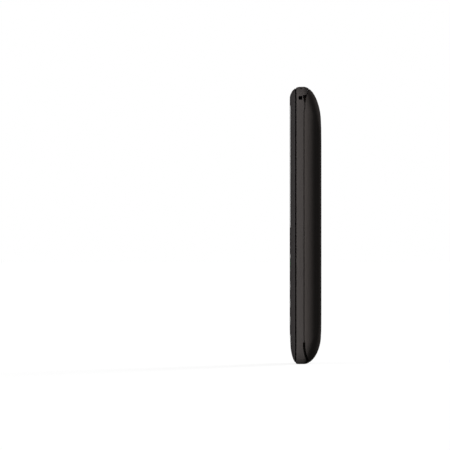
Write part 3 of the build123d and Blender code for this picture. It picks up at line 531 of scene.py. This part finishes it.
def window_glass(name):
    """Black polished window, a little greyer over the picture than in its border."""
    material, tree, shader, place = start_material(name)
    split = tree.nodes.new("ShaderNodeSeparateXYZ")
    tree.links.new(place, split.inputs["Vector"])
    low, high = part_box("display_window")
    margin_side, margin_end = 4.2 * MM, 3.2 * MM
    edges = (
        ("X", "GREATER_THAN", low.x + margin_side),
        ("X", "LESS_THAN", high.x - margin_side),
        ("Z", "GREATER_THAN", low.z + margin_end),
        ("Z", "LESS_THAN", high.z - margin_end),
    )
    inside = None
    for axis, operation, limit in edges:
        test = calculate(tree, operation, split.outputs[axis], limit)
        inside = test if inside is None else calculate(tree, "MULTIPLY", inside, test)
    border, picture = (0.004, 0.004, 0.005), (0.017, 0.019, 0.021)
    black = mix_colours(tree, inside, border, picture)
    tree.links.new(black, shader.inputs["Base Color"])
    vary_gloss(tree, shader, noise(tree, place, 20 * MM), 0.08, 0.02)
    shader.inputs["Specular IOR Level"].default_value = 0.3
    return material


def dark_glass(name):
    """Black printed window round the camera, polished, with a slow change of gloss."""
    material, tree, shader, place = start_material(name)
    slow = noise(tree, place, 6 * MM)
    vary_colour(tree, shader, slow, (0.006, 0.006, 0.007), 0.2)
    vary_gloss(tree, shader, slow, 0.08, 0.02)
    shader.inputs["Coat Weight"].default_value = 0.3
    return material


def coated_glass(name):
    """Coated lens glass: nearly black, with a faint violet sheen that varies slowly."""
    material, tree, shader, place = start_material(name)
    slow = noise(tree, place, 2.5 * MM, 1.0)
    vary_colour(tree, shader, slow, (0.012, 0.009, 0.022), 0.4)
    vary_gloss(tree, shader, slow, 0.05, 0.02)
    shader.inputs["Coat Weight"].default_value = 0.6
    shader.inputs["Coat Tint"].default_value = (0.75, 0.7, 1, 1)
    return material


def milky_silicone(name):
    """Milky silicone rubber that lets a little light through."""
    material, tree, shader, place = start_material(name)
    slow = noise(tree, place, 3 * MM)
    vary_colour(tree, shader, slow, (0.62, 0.65, 0.68), 0.03)
    vary_gloss(tree, shader, slow, 0.5, 0.02)
    shader.inputs["Transmission Weight"].default_value = 0.2
    shader.inputs["IOR"].default_value = 1.49
    return material


def torch_painted_shading(name):
    """Frosted torch lens whose colour holds painted shading: a painted highlight in the
    middle, going to painted shade towards its rim.
    """
    material, tree, shader, place = start_material(name)
    low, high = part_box("torch_lens")
    middle = (low + high) / 2
    # How far past the lens the painted shading reaches, and the share across it that stays
    # at the painted highlight
    beyond_rim, painted_highlight_share = 1.05, 0.6
    reach = beyond_rim * (high.x - low.x) / 2
    centred = tree.nodes.new("ShaderNodeMapping")
    centred.inputs["Scale"].default_value = (1 / reach, 1 / reach, 0)
    centred.inputs["Location"].default_value = (-middle.x / reach, -middle.y / reach, 0)
    tree.links.new(place, centred.inputs["Vector"])
    ball = tree.nodes.new("ShaderNodeTexGradient")
    ball.gradient_type = "SPHERICAL"
    tree.links.new(centred.outputs["Vector"], ball.inputs["Vector"])
    bright = ramp(tree, ball.outputs["Fac"], 0.0, 1.0)
    bright.node.inputs["From Max"].default_value = painted_highlight_share
    # The rim colour is painted shade and the heart colour a painted highlight
    rim, heart = (0.3, 0.3, 0.32), (0.92, 0.92, 0.93)
    tree.links.new(mix_colours(tree, bright, rim, heart), shader.inputs["Base Color"])
    vary_gloss(tree, shader, noise(tree, place, 0.4 * MM), 0.24, 0.04)
    shader.inputs["Transmission Weight"].default_value = 0.1
    shader.inputs["IOR"].default_value = 1.49
    return material


def woven_mesh(name):
    """Fine woven wire, as dark dots of painted shade where its holes would be, between
    bright wires.
    """
    material, tree, shader, place = start_material(name)
    cells = tree.nodes.new("ShaderNodeTexVoronoi")
    cells.feature = "F1"
    cells.inputs["Scale"].default_value = 1 / (0.35 * MM)
    cells.inputs["Randomness"].default_value = 0.0
    tree.links.new(place, cells.inputs["Vector"])
    level = ramp(tree, cells.outputs["Distance"], 0.0, 1.0)
    # The dark dots are painted shade standing in for the holes between the wires
    painted_hole_shade, wire = (0.004, 0.004, 0.004), (0.11, 0.11, 0.11)
    tree.links.new(mix_colours(tree, level, painted_hole_shade, wire), shader.inputs["Base Color"])
    shader.inputs["Metallic"].default_value = 0.7
    shader.inputs["Roughness"].default_value = 0.45
    bump(tree, shader, cells.outputs["Distance"], 0.03 * MM)
    return material


# Operators


class PHONE_OT_stage(Operator):
    """Adds the floor, the lamps, the world and the camera at the photograph's angle"""

    bl_idname = "phone.stage"
    bl_label = "Stage"

    def execute(self, context):
        scene = context.scene
        scene.view_settings.view_transform = "Standard"
        self.add_floor()
        self.add_world(scene)
        self.add_lamps()
        self.add_camera(scene)
        return {"FINISHED"}

    def add_floor(self):
        """A wide floor that is seen pale, and throws back less light than it shows."""
        deselect()
        bpy.ops.mesh.primitive_plane_add(size=FLOOR_SIZE, location=(0, 0, 0))
        floor = bpy.context.object
        floor.name = "studio_floor"
        material, tree, shader, place = start_material("pale_floor")
        soft = noise(tree, place, 0.4, 1.0)
        seen = seen_directly(tree)
        mix = tree.nodes.new("ShaderNodeMix")
        tree.links.new(seen, mix.inputs["Factor"])
        tree.links.new(ramp(tree, soft, *FLOOR_BOUNCE), mix.inputs["A"])
        tree.links.new(ramp(tree, soft, *FLOOR_SEEN), mix.inputs["B"])
        tree.links.new(mix.outputs["Result"], shader.inputs["Base Color"])
        shader.inputs["Roughness"].default_value = 0.9
        shader.inputs["Specular IOR Level"].default_value = 0.0
        shader.inputs["Emission Color"].default_value = (1, 1, 1, 1)
        glow = ramp(tree, seen, 0.0, FLOOR_GLOW)
        tree.links.new(glow, shader.inputs["Emission Strength"])
        dress(floor, material)

    def add_world(self, scene):
        """A background that is seen white, and lights the phone only faintly."""
        world = bpy.data.worlds.new("studio_world")
        scene.world = world
        world.use_nodes = True
        tree = world.node_tree
        tree.nodes.clear()
        out = tree.nodes.new("ShaderNodeOutputWorld")
        background = tree.nodes.new("ShaderNodeBackground")
        background.inputs["Color"].default_value = (1, 1, 1, 1)
        strength = ramp(tree, seen_directly(tree), WORLD_FILL, 1.0)
        tree.links.new(strength, background.inputs["Strength"])
        tree.links.new(background.outputs["Background"], out.inputs["Surface"])

    def add_lamps(self):
        """Lamps like far suns, which light both ends of the phone alike."""
        for name, direction, energy, angle in LAMPS:
            deselect()
            place = Vector(direction)
            turn = place.to_track_quat("Z", "Y").to_euler()
            bpy.ops.object.light_add(type="SUN", location=place, rotation=turn)
            lamp = bpy.context.object
            lamp.name = name
            lamp.data.energy = energy
            lamp.data.angle = radians(angle)

    def add_camera(self, scene):
        """The photograph's right side view, at the scale of its pixels."""
        low, high = CAD_BOX
        scale = (high.y - low.y) / (SIDE_RIGHT_PIXEL - SIDE_LEFT_PIXEL)
        across = FRAME_PIXELS / 2 - (SIDE_LEFT_PIXEL + SIDE_RIGHT_PIXEL) / 2
        up = SIDE_BOTTOM_PIXEL - FRAME_PIXELS / 2
        distance = FRAME_PIXELS * scale * CAMERA_LENS / CAMERA_SENSOR
        place = (distance, (low.y + high.y) / 2 + across * scale, low.z + up * scale)
        deselect()
        bpy.ops.object.camera_add(location=place, rotation=(pi / 2, 0, pi / 2))
        camera = bpy.context.object
        camera.name = "side_camera"
        camera.data.lens = CAMERA_LENS
        camera.data.sensor_width = CAMERA_SENSOR
        camera.data.clip_start, camera.data.clip_end = CAMERA_CLIP
        scene.camera = camera


class PHONE_OT_finishes(Operator):
    """Gives every node of the frame its finish"""

    bl_idname = "phone.finishes"
    bl_label = "Finishes"

    def execute(self, context):
        finish = context.scene.phone_finish
        keys = moulded_plastic(
            "key_plastic", finish.key_colour, 0.38, 0.1 * MM, 0.002 * MM
        )
        black = moulded_plastic("black_plastic", (0.012, 0.012, 0.012), 0.5)
        silicone = milky_silicone("silicone")
        steel = plated_metal("stamped_steel", (0.56, 0.56, 0.55), 0.3)
        mesh = woven_mesh("woven_mesh")
        finishes = {
            "middle_frame": moulded_plastic("frame_plastic", finish.frame_colour, 0.46),
            "back_cover": moulded_plastic("cover_plastic", finish.cover_colour, 0.5),
            "front_cover": moulded_plastic("front_plastic", finish.front_colour, 0.44),
            # Near-black gasket: partly black rubber, partly painted shade of the groove
            # round the front cover
            "front_gasket": moulded_plastic("gasket_rubber_groove_shade", (0.002, 0.002, 0.002), 0.7),
            "display_window": window_glass("window_glass"),
            "camera_window": dark_glass("camera_glass"),
            "display_module": black,
            "display_tray": steel,
            "earpiece_mesh": mesh,
            "speaker_mesh": mesh,
            "receiver": black,
            "microphone": steel,
            "main_board": moulded_plastic("solder_resist", (0.02, 0.13, 0.05), 0.35),
            "dome_sheet": steel,
            "keypad_mat": silicone,
            "nav_seat": silicone,
            "usb_shell": steel,
            "usb_tongue": moulded_plastic("tongue_plastic", (0.03, 0.03, 0.027), 0.5),
            "charge_contacts": plated_metal("gold_plating", finish.gold_colour, 0.22),
            "torch_lens": torch_painted_shading("torch_painted_shading"),
            "torch_led": moulded_plastic("white_plastic", (0.75, 0.75, 0.7), 0.5),
            "battery": moulded_plastic(
                "battery_wrap", (0.05, 0.055, 0.065), 0.35, 0.6 * MM, 0.01 * MM
            ),
            "battery_connector": black,
            "sim_socket_1": steel,
            "sim_socket_2": steel,
            "sd_socket": steel,
            "camera_module": black,
            "loudspeaker": black,
            "motor_body": steel,
            "motor_weight": plated_metal("sintered_weight", (0.3, 0.29, 0.28), 0.45),
            "shield_cans": steel,
            "antenna": plated_metal("antenna_plating", (0.62, 0.36, 0.22), 0.35),
            "frame_screws": steel,
        }
        for name, node in NODES.items():
            dress(node, finishes.get(name, keys))
        return {"FINISHED"}


class PHONE_OT_digits(Operator):
    """Prints the digits, the star and the hash on their keys"""

    bl_idname = "phone.digits"
    bl_label = "Digits"

    def execute(self, context):
        sizes = context.scene.phone_sizes
        size_over_height = 1.4
        material = paint("legend_paint", context.scene.phone_finish.legend_colour)
        for node, sign in DIGIT_KEYS.items():
            low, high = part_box(node)
            centre = (low + high) / 2
            deselect()
            bpy.ops.object.text_add(
                location=(centre.x, low.y, centre.z), rotation=(pi / 2, 0, 0)
            )
            text = bpy.context.object
            text.data.body = sign
            text.data.size = sizes.digit_height * size_over_height
            text.data.align_x = "CENTER"
            text.data.align_y = "CENTER"
            text.data.extrude = sizes.legend_rise
            bpy.ops.object.convert(target="MESH")
            legend = settle(bpy.context.object, "legend_" + node)
            if sign == "1":
                legend = self.add_stroke(legend, sizes.legend_rise)
            self.centre_on(legend, centre)
            dress(legend, material)
            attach(legend, node)
        return {"FINISHED"}

    def add_stroke(self, legend, rise):
        """The font's one is a plain bar, so it gets a short slanted stroke at its top."""
        long, wide, tilt = 1.2 * MM, 0.42 * MM, radians(37.5)
        beside, below = 0.275 * MM, 0.585 * MM
        left = min(v.co.x for v in legend.data.vertices)
        front = min(v.co.y for v in legend.data.vertices)
        top = max(v.co.z for v in legend.data.vertices)
        place = Vector((left - beside, front + rise, top - below))
        stroke = block(place, (long, 1.9 * rise, wide), 0.01 * MM)
        stroke.rotation_euler.y = -tilt
        return join([legend, stroke], legend.name)

    def centre_on(self, legend, centre):
        """Centres a sign on its key, whatever room its font leaves round it."""
        xs = [v.co.x for v in legend.data.vertices]
        zs = [v.co.z for v in legend.data.vertices]
        across = centre.x - (min(xs) + max(xs)) / 2
        up = centre.z - (min(zs) + max(zs)) / 2
        pick(legend)
        bpy.ops.transform.translate(value=(across, 0, up))
        bpy.ops.object.transform_apply(location=True)


class PHONE_OT_key_marks(Operator):
    """Prints the marks of the call, end and soft keys, the rocker and its middle key"""

    bl_idname = "phone.key_marks"
    bl_label = "Key marks"

    def execute(self, context):
        finish = context.scene.phone_finish
        rise = context.scene.phone_sizes.legend_rise
        white = paint("mark_paint", finish.legend_colour)
        handsets = (
            ("call_key", pi / 4, paint("call_paint", finish.call_colour)),
            ("end_key", 0, paint("end_paint", finish.end_colour)),
        )
        for node, tilt, material in handsets:
            self.place(self.handset(self.face_of(node), tilt, rise), node, node, material)
        for node in ("soft_key_left", "soft_key_right"):
            self.place(self.dash(self.face_of(node), rise), node, node, white)
        self.place(self.ring(self.face_of("ok_key"), rise), "ok_key", "ok_key", white)
        self.place(self.arrows("nav_ring", rise), "nav_ring", "nav_rocker", white)
        return {"FINISHED"}

    def face_of(self, node):
        """The middle of a key's front face."""
        low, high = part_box(node)
        return Vector(((low.x + high.x) / 2, low.y, (low.z + high.z) / 2))

    def place(self, mark, node, body, material):
        """Names a mark for its key and lets it ride on the body."""
        settle(mark, "mark_" + node)
        dress(mark, material)
        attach(mark, body)

    def handset(self, centre, tilt, rise):
        """A telephone handset: the upper arc of a ring with a rounded pad at each end."""
        radius, thickness, foot = 1.75 * MM, 0.36 * MM, 0.2
        pad_size = (1.15 * MM, 2 * thickness, 0.85 * MM)
        pad_round, pad_reach = 0.2 * MM, 0.93
        deselect()
        bpy.ops.mesh.primitive_torus_add(
            location=centre, rotation=(pi / 2, 0, 0), major_radius=radius,
            minor_radius=thickness, major_segments=48, minor_segments=10,
        )
        arc = bpy.context.object
        edit_all(arc)
        bpy.ops.mesh.bisect(
            plane_co=centre + Vector((0, 0, foot * radius)), plane_no=(0, 0, 1),
            use_fill=True, clear_inner=True,
        )
        end_edit()
        pads = [
            block(centre + Vector((side * pad_reach * radius, 0, 0)), pad_size, pad_round)
            for side in (-1, 1)
        ]
        pick(arc, *pads)
        bpy.ops.object.join()
        mark = bpy.context.object
        bpy.ops.object.transform_apply(location=False, rotation=True, scale=True)
        mark.scale.y = rise / thickness
        bpy.ops.object.transform_apply(location=False, rotation=False, scale=True)
        mark.rotation_euler.y = tilt
        return smooth(mark)

    def dash(self, centre, rise):
        """The short bar of a soft key."""
        return block(centre, (3.6 * MM, 2 * rise, 0.55 * MM), 0.02 * MM)

    def ring(self, centre, rise):
        """A small ring on the middle key."""
        return flat_ring(
            centre, (pi / 2, 0, 0), outer=1.17 * MM, inner=0.83 * MM,
            thickness=2 * rise, round_width=0.015 * MM,
        )

    def arrows(self, node, rise):
        """Four arrow heads, each near its end or side of the rocker."""
        margin_side, margin_end = 2.3 * MM, 1.9 * MM
        middle = self.face_of(node)
        low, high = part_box(node)
        side = (high.x - low.x) / 2 - margin_side
        end = (high.z - low.z) / 2 - margin_end
        places = ((0, end), (-side, 0), (0, -end), (side, 0))
        heads = [
            self.arrow(middle + Vector((across, 0, up)), quarter * pi / 2, rise)
            for quarter, (across, up) in enumerate(places)
        ]
        return join(heads, "arrows")

    def arrow(self, centre, turn, rise):
        """A small arrow head that points away from the rocker's middle."""
        radius, height_over_width = 0.75 * MM, 0.8
        deselect()
        bpy.ops.mesh.primitive_cylinder_add(
            vertices=3, radius=radius, depth=2 * rise, location=centre,
            rotation=(pi / 2, 0, 0),
        )
        head = bpy.context.object
        bpy.ops.object.transform_apply(location=False, rotation=True, scale=True)
        upper = [vertex for vertex in head.data.vertices if vertex.co.z > 0]
        tip = max(upper, key=lambda vertex: vertex.co.length)
        heading = Vector((tip.co.x, tip.co.z))
        head.rotation_euler.y = -turn + Vector((0, 1)).angle_signed(heading, 0)
        head.scale.z = height_over_width
        return bevel(head, 0.02 * MM, 1)


class PHONE_OT_port_contacts(Operator):
    """Lays the gold contacts along both faces of the charging port's tongue"""

    bl_idname = "phone.port_contacts"
    bl_label = "Port contacts"

    def execute(self, context):
        count = context.scene.phone_sizes.port_pad_count
        pitch, rise, half_tongue = 0.5 * MM, 0.02 * MM, 0.35 * MM
        wide, long, setback = 0.26 * MM, 3.4 * MM, 0.55 * MM
        low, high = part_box("usb_tongue")
        middle = (low + high) / 2
        first = Vector((
            middle.x - (count - 1) / 2 * pitch, middle.y - half_tongue,
            low.z + setback + long / 2,
        ))
        pad = block(first, (wide, 2 * rise, long), 0.01 * MM)
        shifts = [
            (step * pitch, face * 2 * half_tongue, 0)
            for face in (0, 1) for step in range(count) if face or step
        ]
        pads = [pad] + [copy_at(pad, shift) for shift in shifts]
        contacts = join(pads, "port_contacts")
        gold = plated_metal("port_plating", context.scene.phone_finish.gold_colour, 0.25)
        dress(contacts, gold)
        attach(contacts, "housing")
        return {"FINISHED"}


class PHONE_OT_contact_caps(Operator):
    """Sets a domed gold cap in a near-black collar on each charging contact; the collar's
    black stands in for the shade round each cap
    """

    bl_idname = "phone.contact_caps"
    bl_label = "Charging contacts"

    def execute(self, context):
        contact_radius = 1.2 * MM
        collar_lift = Vector((0, 0, 0.015 * MM))
        downward = (pi, 0, 0)
        low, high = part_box("charge_contacts")
        first = Vector((low.x + contact_radius, high.y - contact_radius, low.z))
        shift = (high.x - low.x - 2 * contact_radius, 0, 0)
        collar = flat_ring(
            first - collar_lift, downward, outer=1.23 * MM, inner=1.04 * MM,
            thickness=0.06 * MM, round_width=0.01 * MM,
        )
        cap = low_dome(first, downward, radius=1.06 * MM, rise=0.07 * MM)
        settle(cap, "contact_caps")
        # The collar's near-black is painted shade round each domed cap
        black = moulded_plastic("collar_black_painted_shade", (0.006, 0.006, 0.005), 0.5)
        gold = plated_metal("cap_plating", context.scene.phone_finish.gold_colour, 0.25)
        fittings = (
            (collar, "contact_collars_painted_shade", black, "black_plastic"),
            (cap, "contact_caps", gold, "gold"),
        )
        for piece, name, material, slot in fittings:
            both = join([piece, copy_at(piece, shift)], name)
            dress(both, material)
            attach(both, "housing")
        return {"FINISHED"}


class PHONE_OT_camera_lens(Operator):
    """Sets the ring, the barrel and the lens of the camera on its window"""

    bl_idname = "phone.camera_lens"
    bl_label = "Camera lens"

    def execute(self, context):
        low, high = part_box("camera_window")
        centre = Vector(((low.x + high.x) / 2, high.y, (low.z + high.z) / 2))
        backward = (-pi / 2, 0, 0)
        lens_lift = Vector((0, 0.05 * MM, 0))
        ring = turned_cup(
            centre, backward, radius=2.75 * MM, depth=0.44 * MM, lip=0.3 * MM,
            sink=0.14 * MM, round_width=0.05 * MM,
        )
        barrel = turned_cup(
            centre, backward, radius=2.3 * MM, depth=0.24 * MM, lip=0.75 * MM,
            sink=0.06 * MM, round_width=0.02 * MM,
        )
        lens = low_dome(centre + lens_lift, backward, radius=1.5 * MM, rise=0.13 * MM)
        ring_metal = plated_metal("ring_metal", (0.2, 0.2, 0.21), 0.25)
        barrel_black = moulded_plastic("barrel_black", (0.01, 0.01, 0.01), 0.4)
        fittings = (
            (ring, "camera_ring", ring_metal, "steel"),
            (barrel, "camera_barrel", barrel_black, "black_plastic"),
            (lens, "camera_lens", coated_glass("coated_glass"), "clear_lens"),
        )
        for piece, name, material, slot in fittings:
            settle(piece, name)
            dress(piece, material)
            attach(piece, "cover")
        return {"FINISHED"}


class PHONE_OT_cover_seals(Operator):
    """Lays near-black foam along the parting gap at both ends, as seals and as painted
    shade of the gap, and a foam pad below the top
    """

    bl_idname = "phone.cover_seals"
    bl_label = "Cover seals"

    def execute(self, context):
        low, high = CAD_BOX
        pad_place = Vector((-12.5, 1.15, 120.85)) * MM
        pad_size = Vector((5, 2.4, 2.8)) * MM
        # Near-black foam: partly a seal, partly painted shade of the parting gap
        foam = moulded_plastic(
            "foam_rubber_gap_shade", (0.006, 0.006, 0.006), 0.9, 0.12 * MM, 0.02 * MM
        )
        bottom = [
            self.strip(SEAL_SECTION_BOTTOM, run, low.z, 1) for run in SEAL_RUNS_BOTTOM
        ]
        top = [self.strip(SEAL_SECTION_TOP, run, high.z, -1) for run in SEAL_RUNS_TOP]
        pad = [block(pad_place, pad_size, 0.25 * MM)]
        seals = ((bottom, "seal_bottom_gap_shade"), (top, "seal_top_gap_shade"), (pad, "foam_pad"))
        for pieces, name in seals:
            seal = join(pieces, name)
            dress(seal, foam)
            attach(seal, "cover")
        return {"FINISHED"}

    def strip(self, section, run, end, inward):
        """A strip whose section follows the parting curve, from one side to the other."""
        gaps = len(section) - 1
        first, last = run[0] * MM, run[1] * MM
        deselect()
        bpy.ops.mesh.primitive_grid_add(x_subdivisions=1, y_subdivisions=gaps, size=1)
        piece = bpy.context.object
        piece.scale.x = last - first
        piece.location.x = (first + last) / 2
        bpy.ops.object.transform_apply(location=True, rotation=False, scale=True)
        rows = [
            {v.index for v in piece.data.vertices if round((v.co.y + 0.5) * gaps) == row}
            for row in range(gaps + 1)
        ]
        for row, (back, up) in enumerate(section):
            edit_chosen(piece, "VERT", lambda vertex: vertex.index in rows[row])
            flat_place = row / gaps - 0.5
            bpy.ops.transform.translate(
                value=(0, back * MM - flat_place, end + inward * up * MM)
            )
            end_edit()
        thicken(piece, thickness=0.25 * MM)
        return piece


class PHONE_OT_gasket_bead(Operator):
    """Swells the gasket's outer wall, so that the black bead nearly fills its groove; the
    bead's near-black is partly the rubber's colour and partly painted shade of the groove
    """

    bl_idname = "phone.gasket_bead"
    bl_label = "Gasket bead"

    def execute(self, context):
        deselect()
        bead = NODES["front_gasket"].copy()
        bead.data = bead.data.copy()
        context.scene.collection.objects.link(bead)
        edit_all(bead)
        bpy.ops.mesh.remove_doubles(threshold=0.001 * MM)
        end_edit()
        low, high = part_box("front_gasket")
        middle = (low + high) / 2
        swell = context.scene.phone_sizes.bead_swell
        across = 1 + 2 * swell / (high.x - low.x)
        up = 1 + 2 * swell / (high.z - low.z)
        edit_chosen(bead, "FACE", lambda face: self.faces_out(face, middle))
        bpy.ops.transform.resize(value=(across, 1, up), center_override=middle)
        end_edit()
        settle(bead, "gasket_bead")
        # Near-black bead: partly rubber, partly painted shade of the groove
        dress(bead, moulded_plastic("bead_rubber_groove_shade", (0.002, 0.002, 0.002), 0.7))
        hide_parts("front_gasket")
        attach(bead, "housing")
        return {"FINISHED"}

    def faces_out(self, face, middle):
        """True for a face of the gasket's outer wall."""
        most_forward = 0.8
        outward = face.center - middle
        outward.y = 0
        return abs(face.normal.y) < most_forward and face.normal.dot(outward) > 0


class PHONE_OT_torch_ring(Operator):
    """Lays a near-black ring round the torch lens, in the recess that follows the top end;
    its black stands in for the recess's shade
    """

    bl_idname = "phone.torch_ring"
    bl_label = "Torch ring"

    def execute(self, context):
        gap, thickness, sink = 0.2 * MM, 0.14 * MM, 0.28 * MM
        low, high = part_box("torch_lens")
        middle = (low + high) / 2
        deselect()
        bpy.ops.mesh.primitive_torus_add(
            location=(middle.x, middle.y, CAD_BOX[1].z - sink),
            major_radius=(high.x - low.x) / 2 + gap, minor_radius=thickness,
            major_segments=64, minor_segments=10,
        )
        ring = settle(bpy.context.object, "torch_ring")
        for vertex in ring.data.vertices:
            vertex.co.z -= self.drop(vertex.co.y - CAD_BOX[0].y)
        smooth(ring)
        # The ring's near-black is painted shade of the recess round the lens
        dress(ring, moulded_plastic("ring_black_recess_shade", (0.004, 0.004, 0.004), 0.6))
        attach(ring, "housing")
        return {"FINISHED"}

    def drop(self, depth):
        """How far the top end has curved down at a depth behind the front face."""
        share = max(0, (depth - TOP_CURVE_START * MM) / (TOP_CURVE_REACH * MM))
        return TOP_CURVE_RUN * MM * (1 - sqrt(1 - share**2))


class PHONE_OT_battery_marks(Operator):
    """Adds the battery's gold terminals and its plus and minus signs"""

    bl_idname = "phone.battery_marks"
    bl_label = "Battery terminals"

    def execute(self, context):
        finish = context.scene.phone_finish
        pitch, inset, count = 2.5 * MM, 1.0 * MM, 4
        half_row = (count - 1) / 2 * pitch
        low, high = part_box("battery")
        first = Vector((-half_row, low.y + inset, high.z))
        pad = block(first, Vector((1.5, 1.0, 0.02)) * MM, 0.005 * MM)
        pads = [pad] + [copy_at(pad, (step * pitch, 0, 0)) for step in range(1, count)]
        terminals = join(pads, "battery_terminals")
        dress(terminals, plated_metal("terminal_plating", finish.gold_colour, 0.3))
        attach(terminals, "battery_pack")

        lying = Vector((1.7, 0.04, 0.36)) * MM
        upright = Vector((0.36, 0.04, 1.7)) * MM
        sign_height = high.z - 3 * MM
        plus = Vector((half_row, high.y, sign_height))
        minus = Vector((-half_row, high.y, sign_height))
        strokes = ((plus, lying), (plus, upright), (minus, lying))
        bars = [block(place, size, 0.01 * MM) for place, size in strokes]
        signs = join(bars, "battery_signs")
        dress(signs, paint("sign_paint", finish.legend_colour))
        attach(signs, "battery_pack")
        return {"FINISHED"}


class PHONE_OT_card_contacts(Operator):
    """Lays the gold contacts on the floors of the card sockets"""

    bl_idname = "phone.card_contacts"
    bl_label = "Card contacts"

    def execute(self, context):
        floor_height = 0.34 * MM
        gold = plated_metal("card_plating", context.scene.phone_finish.gold_colour, 0.3)
        for node, across, up, pitch, size in CARD_CONTACTS:
            low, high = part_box(node)
            middle = (low + high) / 2
            pitch *= MM
            first = Vector((
                middle.x - (across - 1) / 2 * pitch, low.y + floor_height,
                middle.z - (up - 1) / 2 * pitch,
            ))
            pad = block(first, Vector(size) * MM, 0.01 * MM)
            shifts = [
                (column * pitch, 0, row * pitch)
                for column in range(across) for row in range(up) if column or row
            ]
            pads = [pad] + [copy_at(pad, shift) for shift in shifts]
            contacts = join(pads, "contacts_" + node)
            dress(contacts, gold)
            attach(contacts, "housing")
        return {"FINISHED"}


class PHONE_PT_sidebar(Panel):
    """Lists the phone's operators and settings"""

    bl_idname = "PHONE_PT_sidebar"
    bl_label = "Bar Phone"
    bl_space_type = "VIEW_3D"
    bl_region_type = "UI"
    bl_category = "Phone"

    def draw(self, context):
        layout = self.layout
        for operator in OPERATORS:
            layout.operator(operator.bl_idname)
        for group in (context.scene.phone_finish, context.scene.phone_sizes):
            for name in group.bl_rna.properties.keys():
                if name not in ("rna_type", "name"):
                    layout.prop(group, name)


OPERATORS = (
    PHONE_OT_stage,
    PHONE_OT_finishes,
    PHONE_OT_digits,
    PHONE_OT_key_marks,
    PHONE_OT_port_contacts,
    PHONE_OT_contact_caps,
    PHONE_OT_camera_lens,
    PHONE_OT_cover_seals,
    PHONE_OT_gasket_bead,
    PHONE_OT_torch_ring,
    PHONE_OT_battery_marks,
    PHONE_OT_card_contacts,
)
CLASSES = (PhoneFinish, PhoneSizes, *OPERATORS, PHONE_PT_sidebar)


def register():
    for cls in CLASSES:
        bpy.utils.register_class(cls)
    bpy.types.Scene.phone_finish = PointerProperty(type=PhoneFinish)
    bpy.types.Scene.phone_sizes = PointerProperty(type=PhoneSizes)


def unregister():
    del bpy.types.Scene.phone_sizes
    del bpy.types.Scene.phone_finish
    for cls in reversed(CLASSES):
        bpy.utils.unregister_class(cls)


def main():
    register()
    bpy.ops.phone.stage()
    bpy.ops.phone.finishes()
    bpy.ops.phone.digits()
    bpy.ops.phone.key_marks()
    bpy.ops.phone.port_contacts()
    bpy.ops.phone.contact_caps()
    bpy.ops.phone.camera_lens()
    bpy.ops.phone.cover_seals()
    bpy.ops.phone.gasket_bead()
    bpy.ops.phone.torch_ring()
    bpy.ops.phone.battery_marks()
    bpy.ops.phone.card_contacts()


if __name__ == "__main__":
    main()
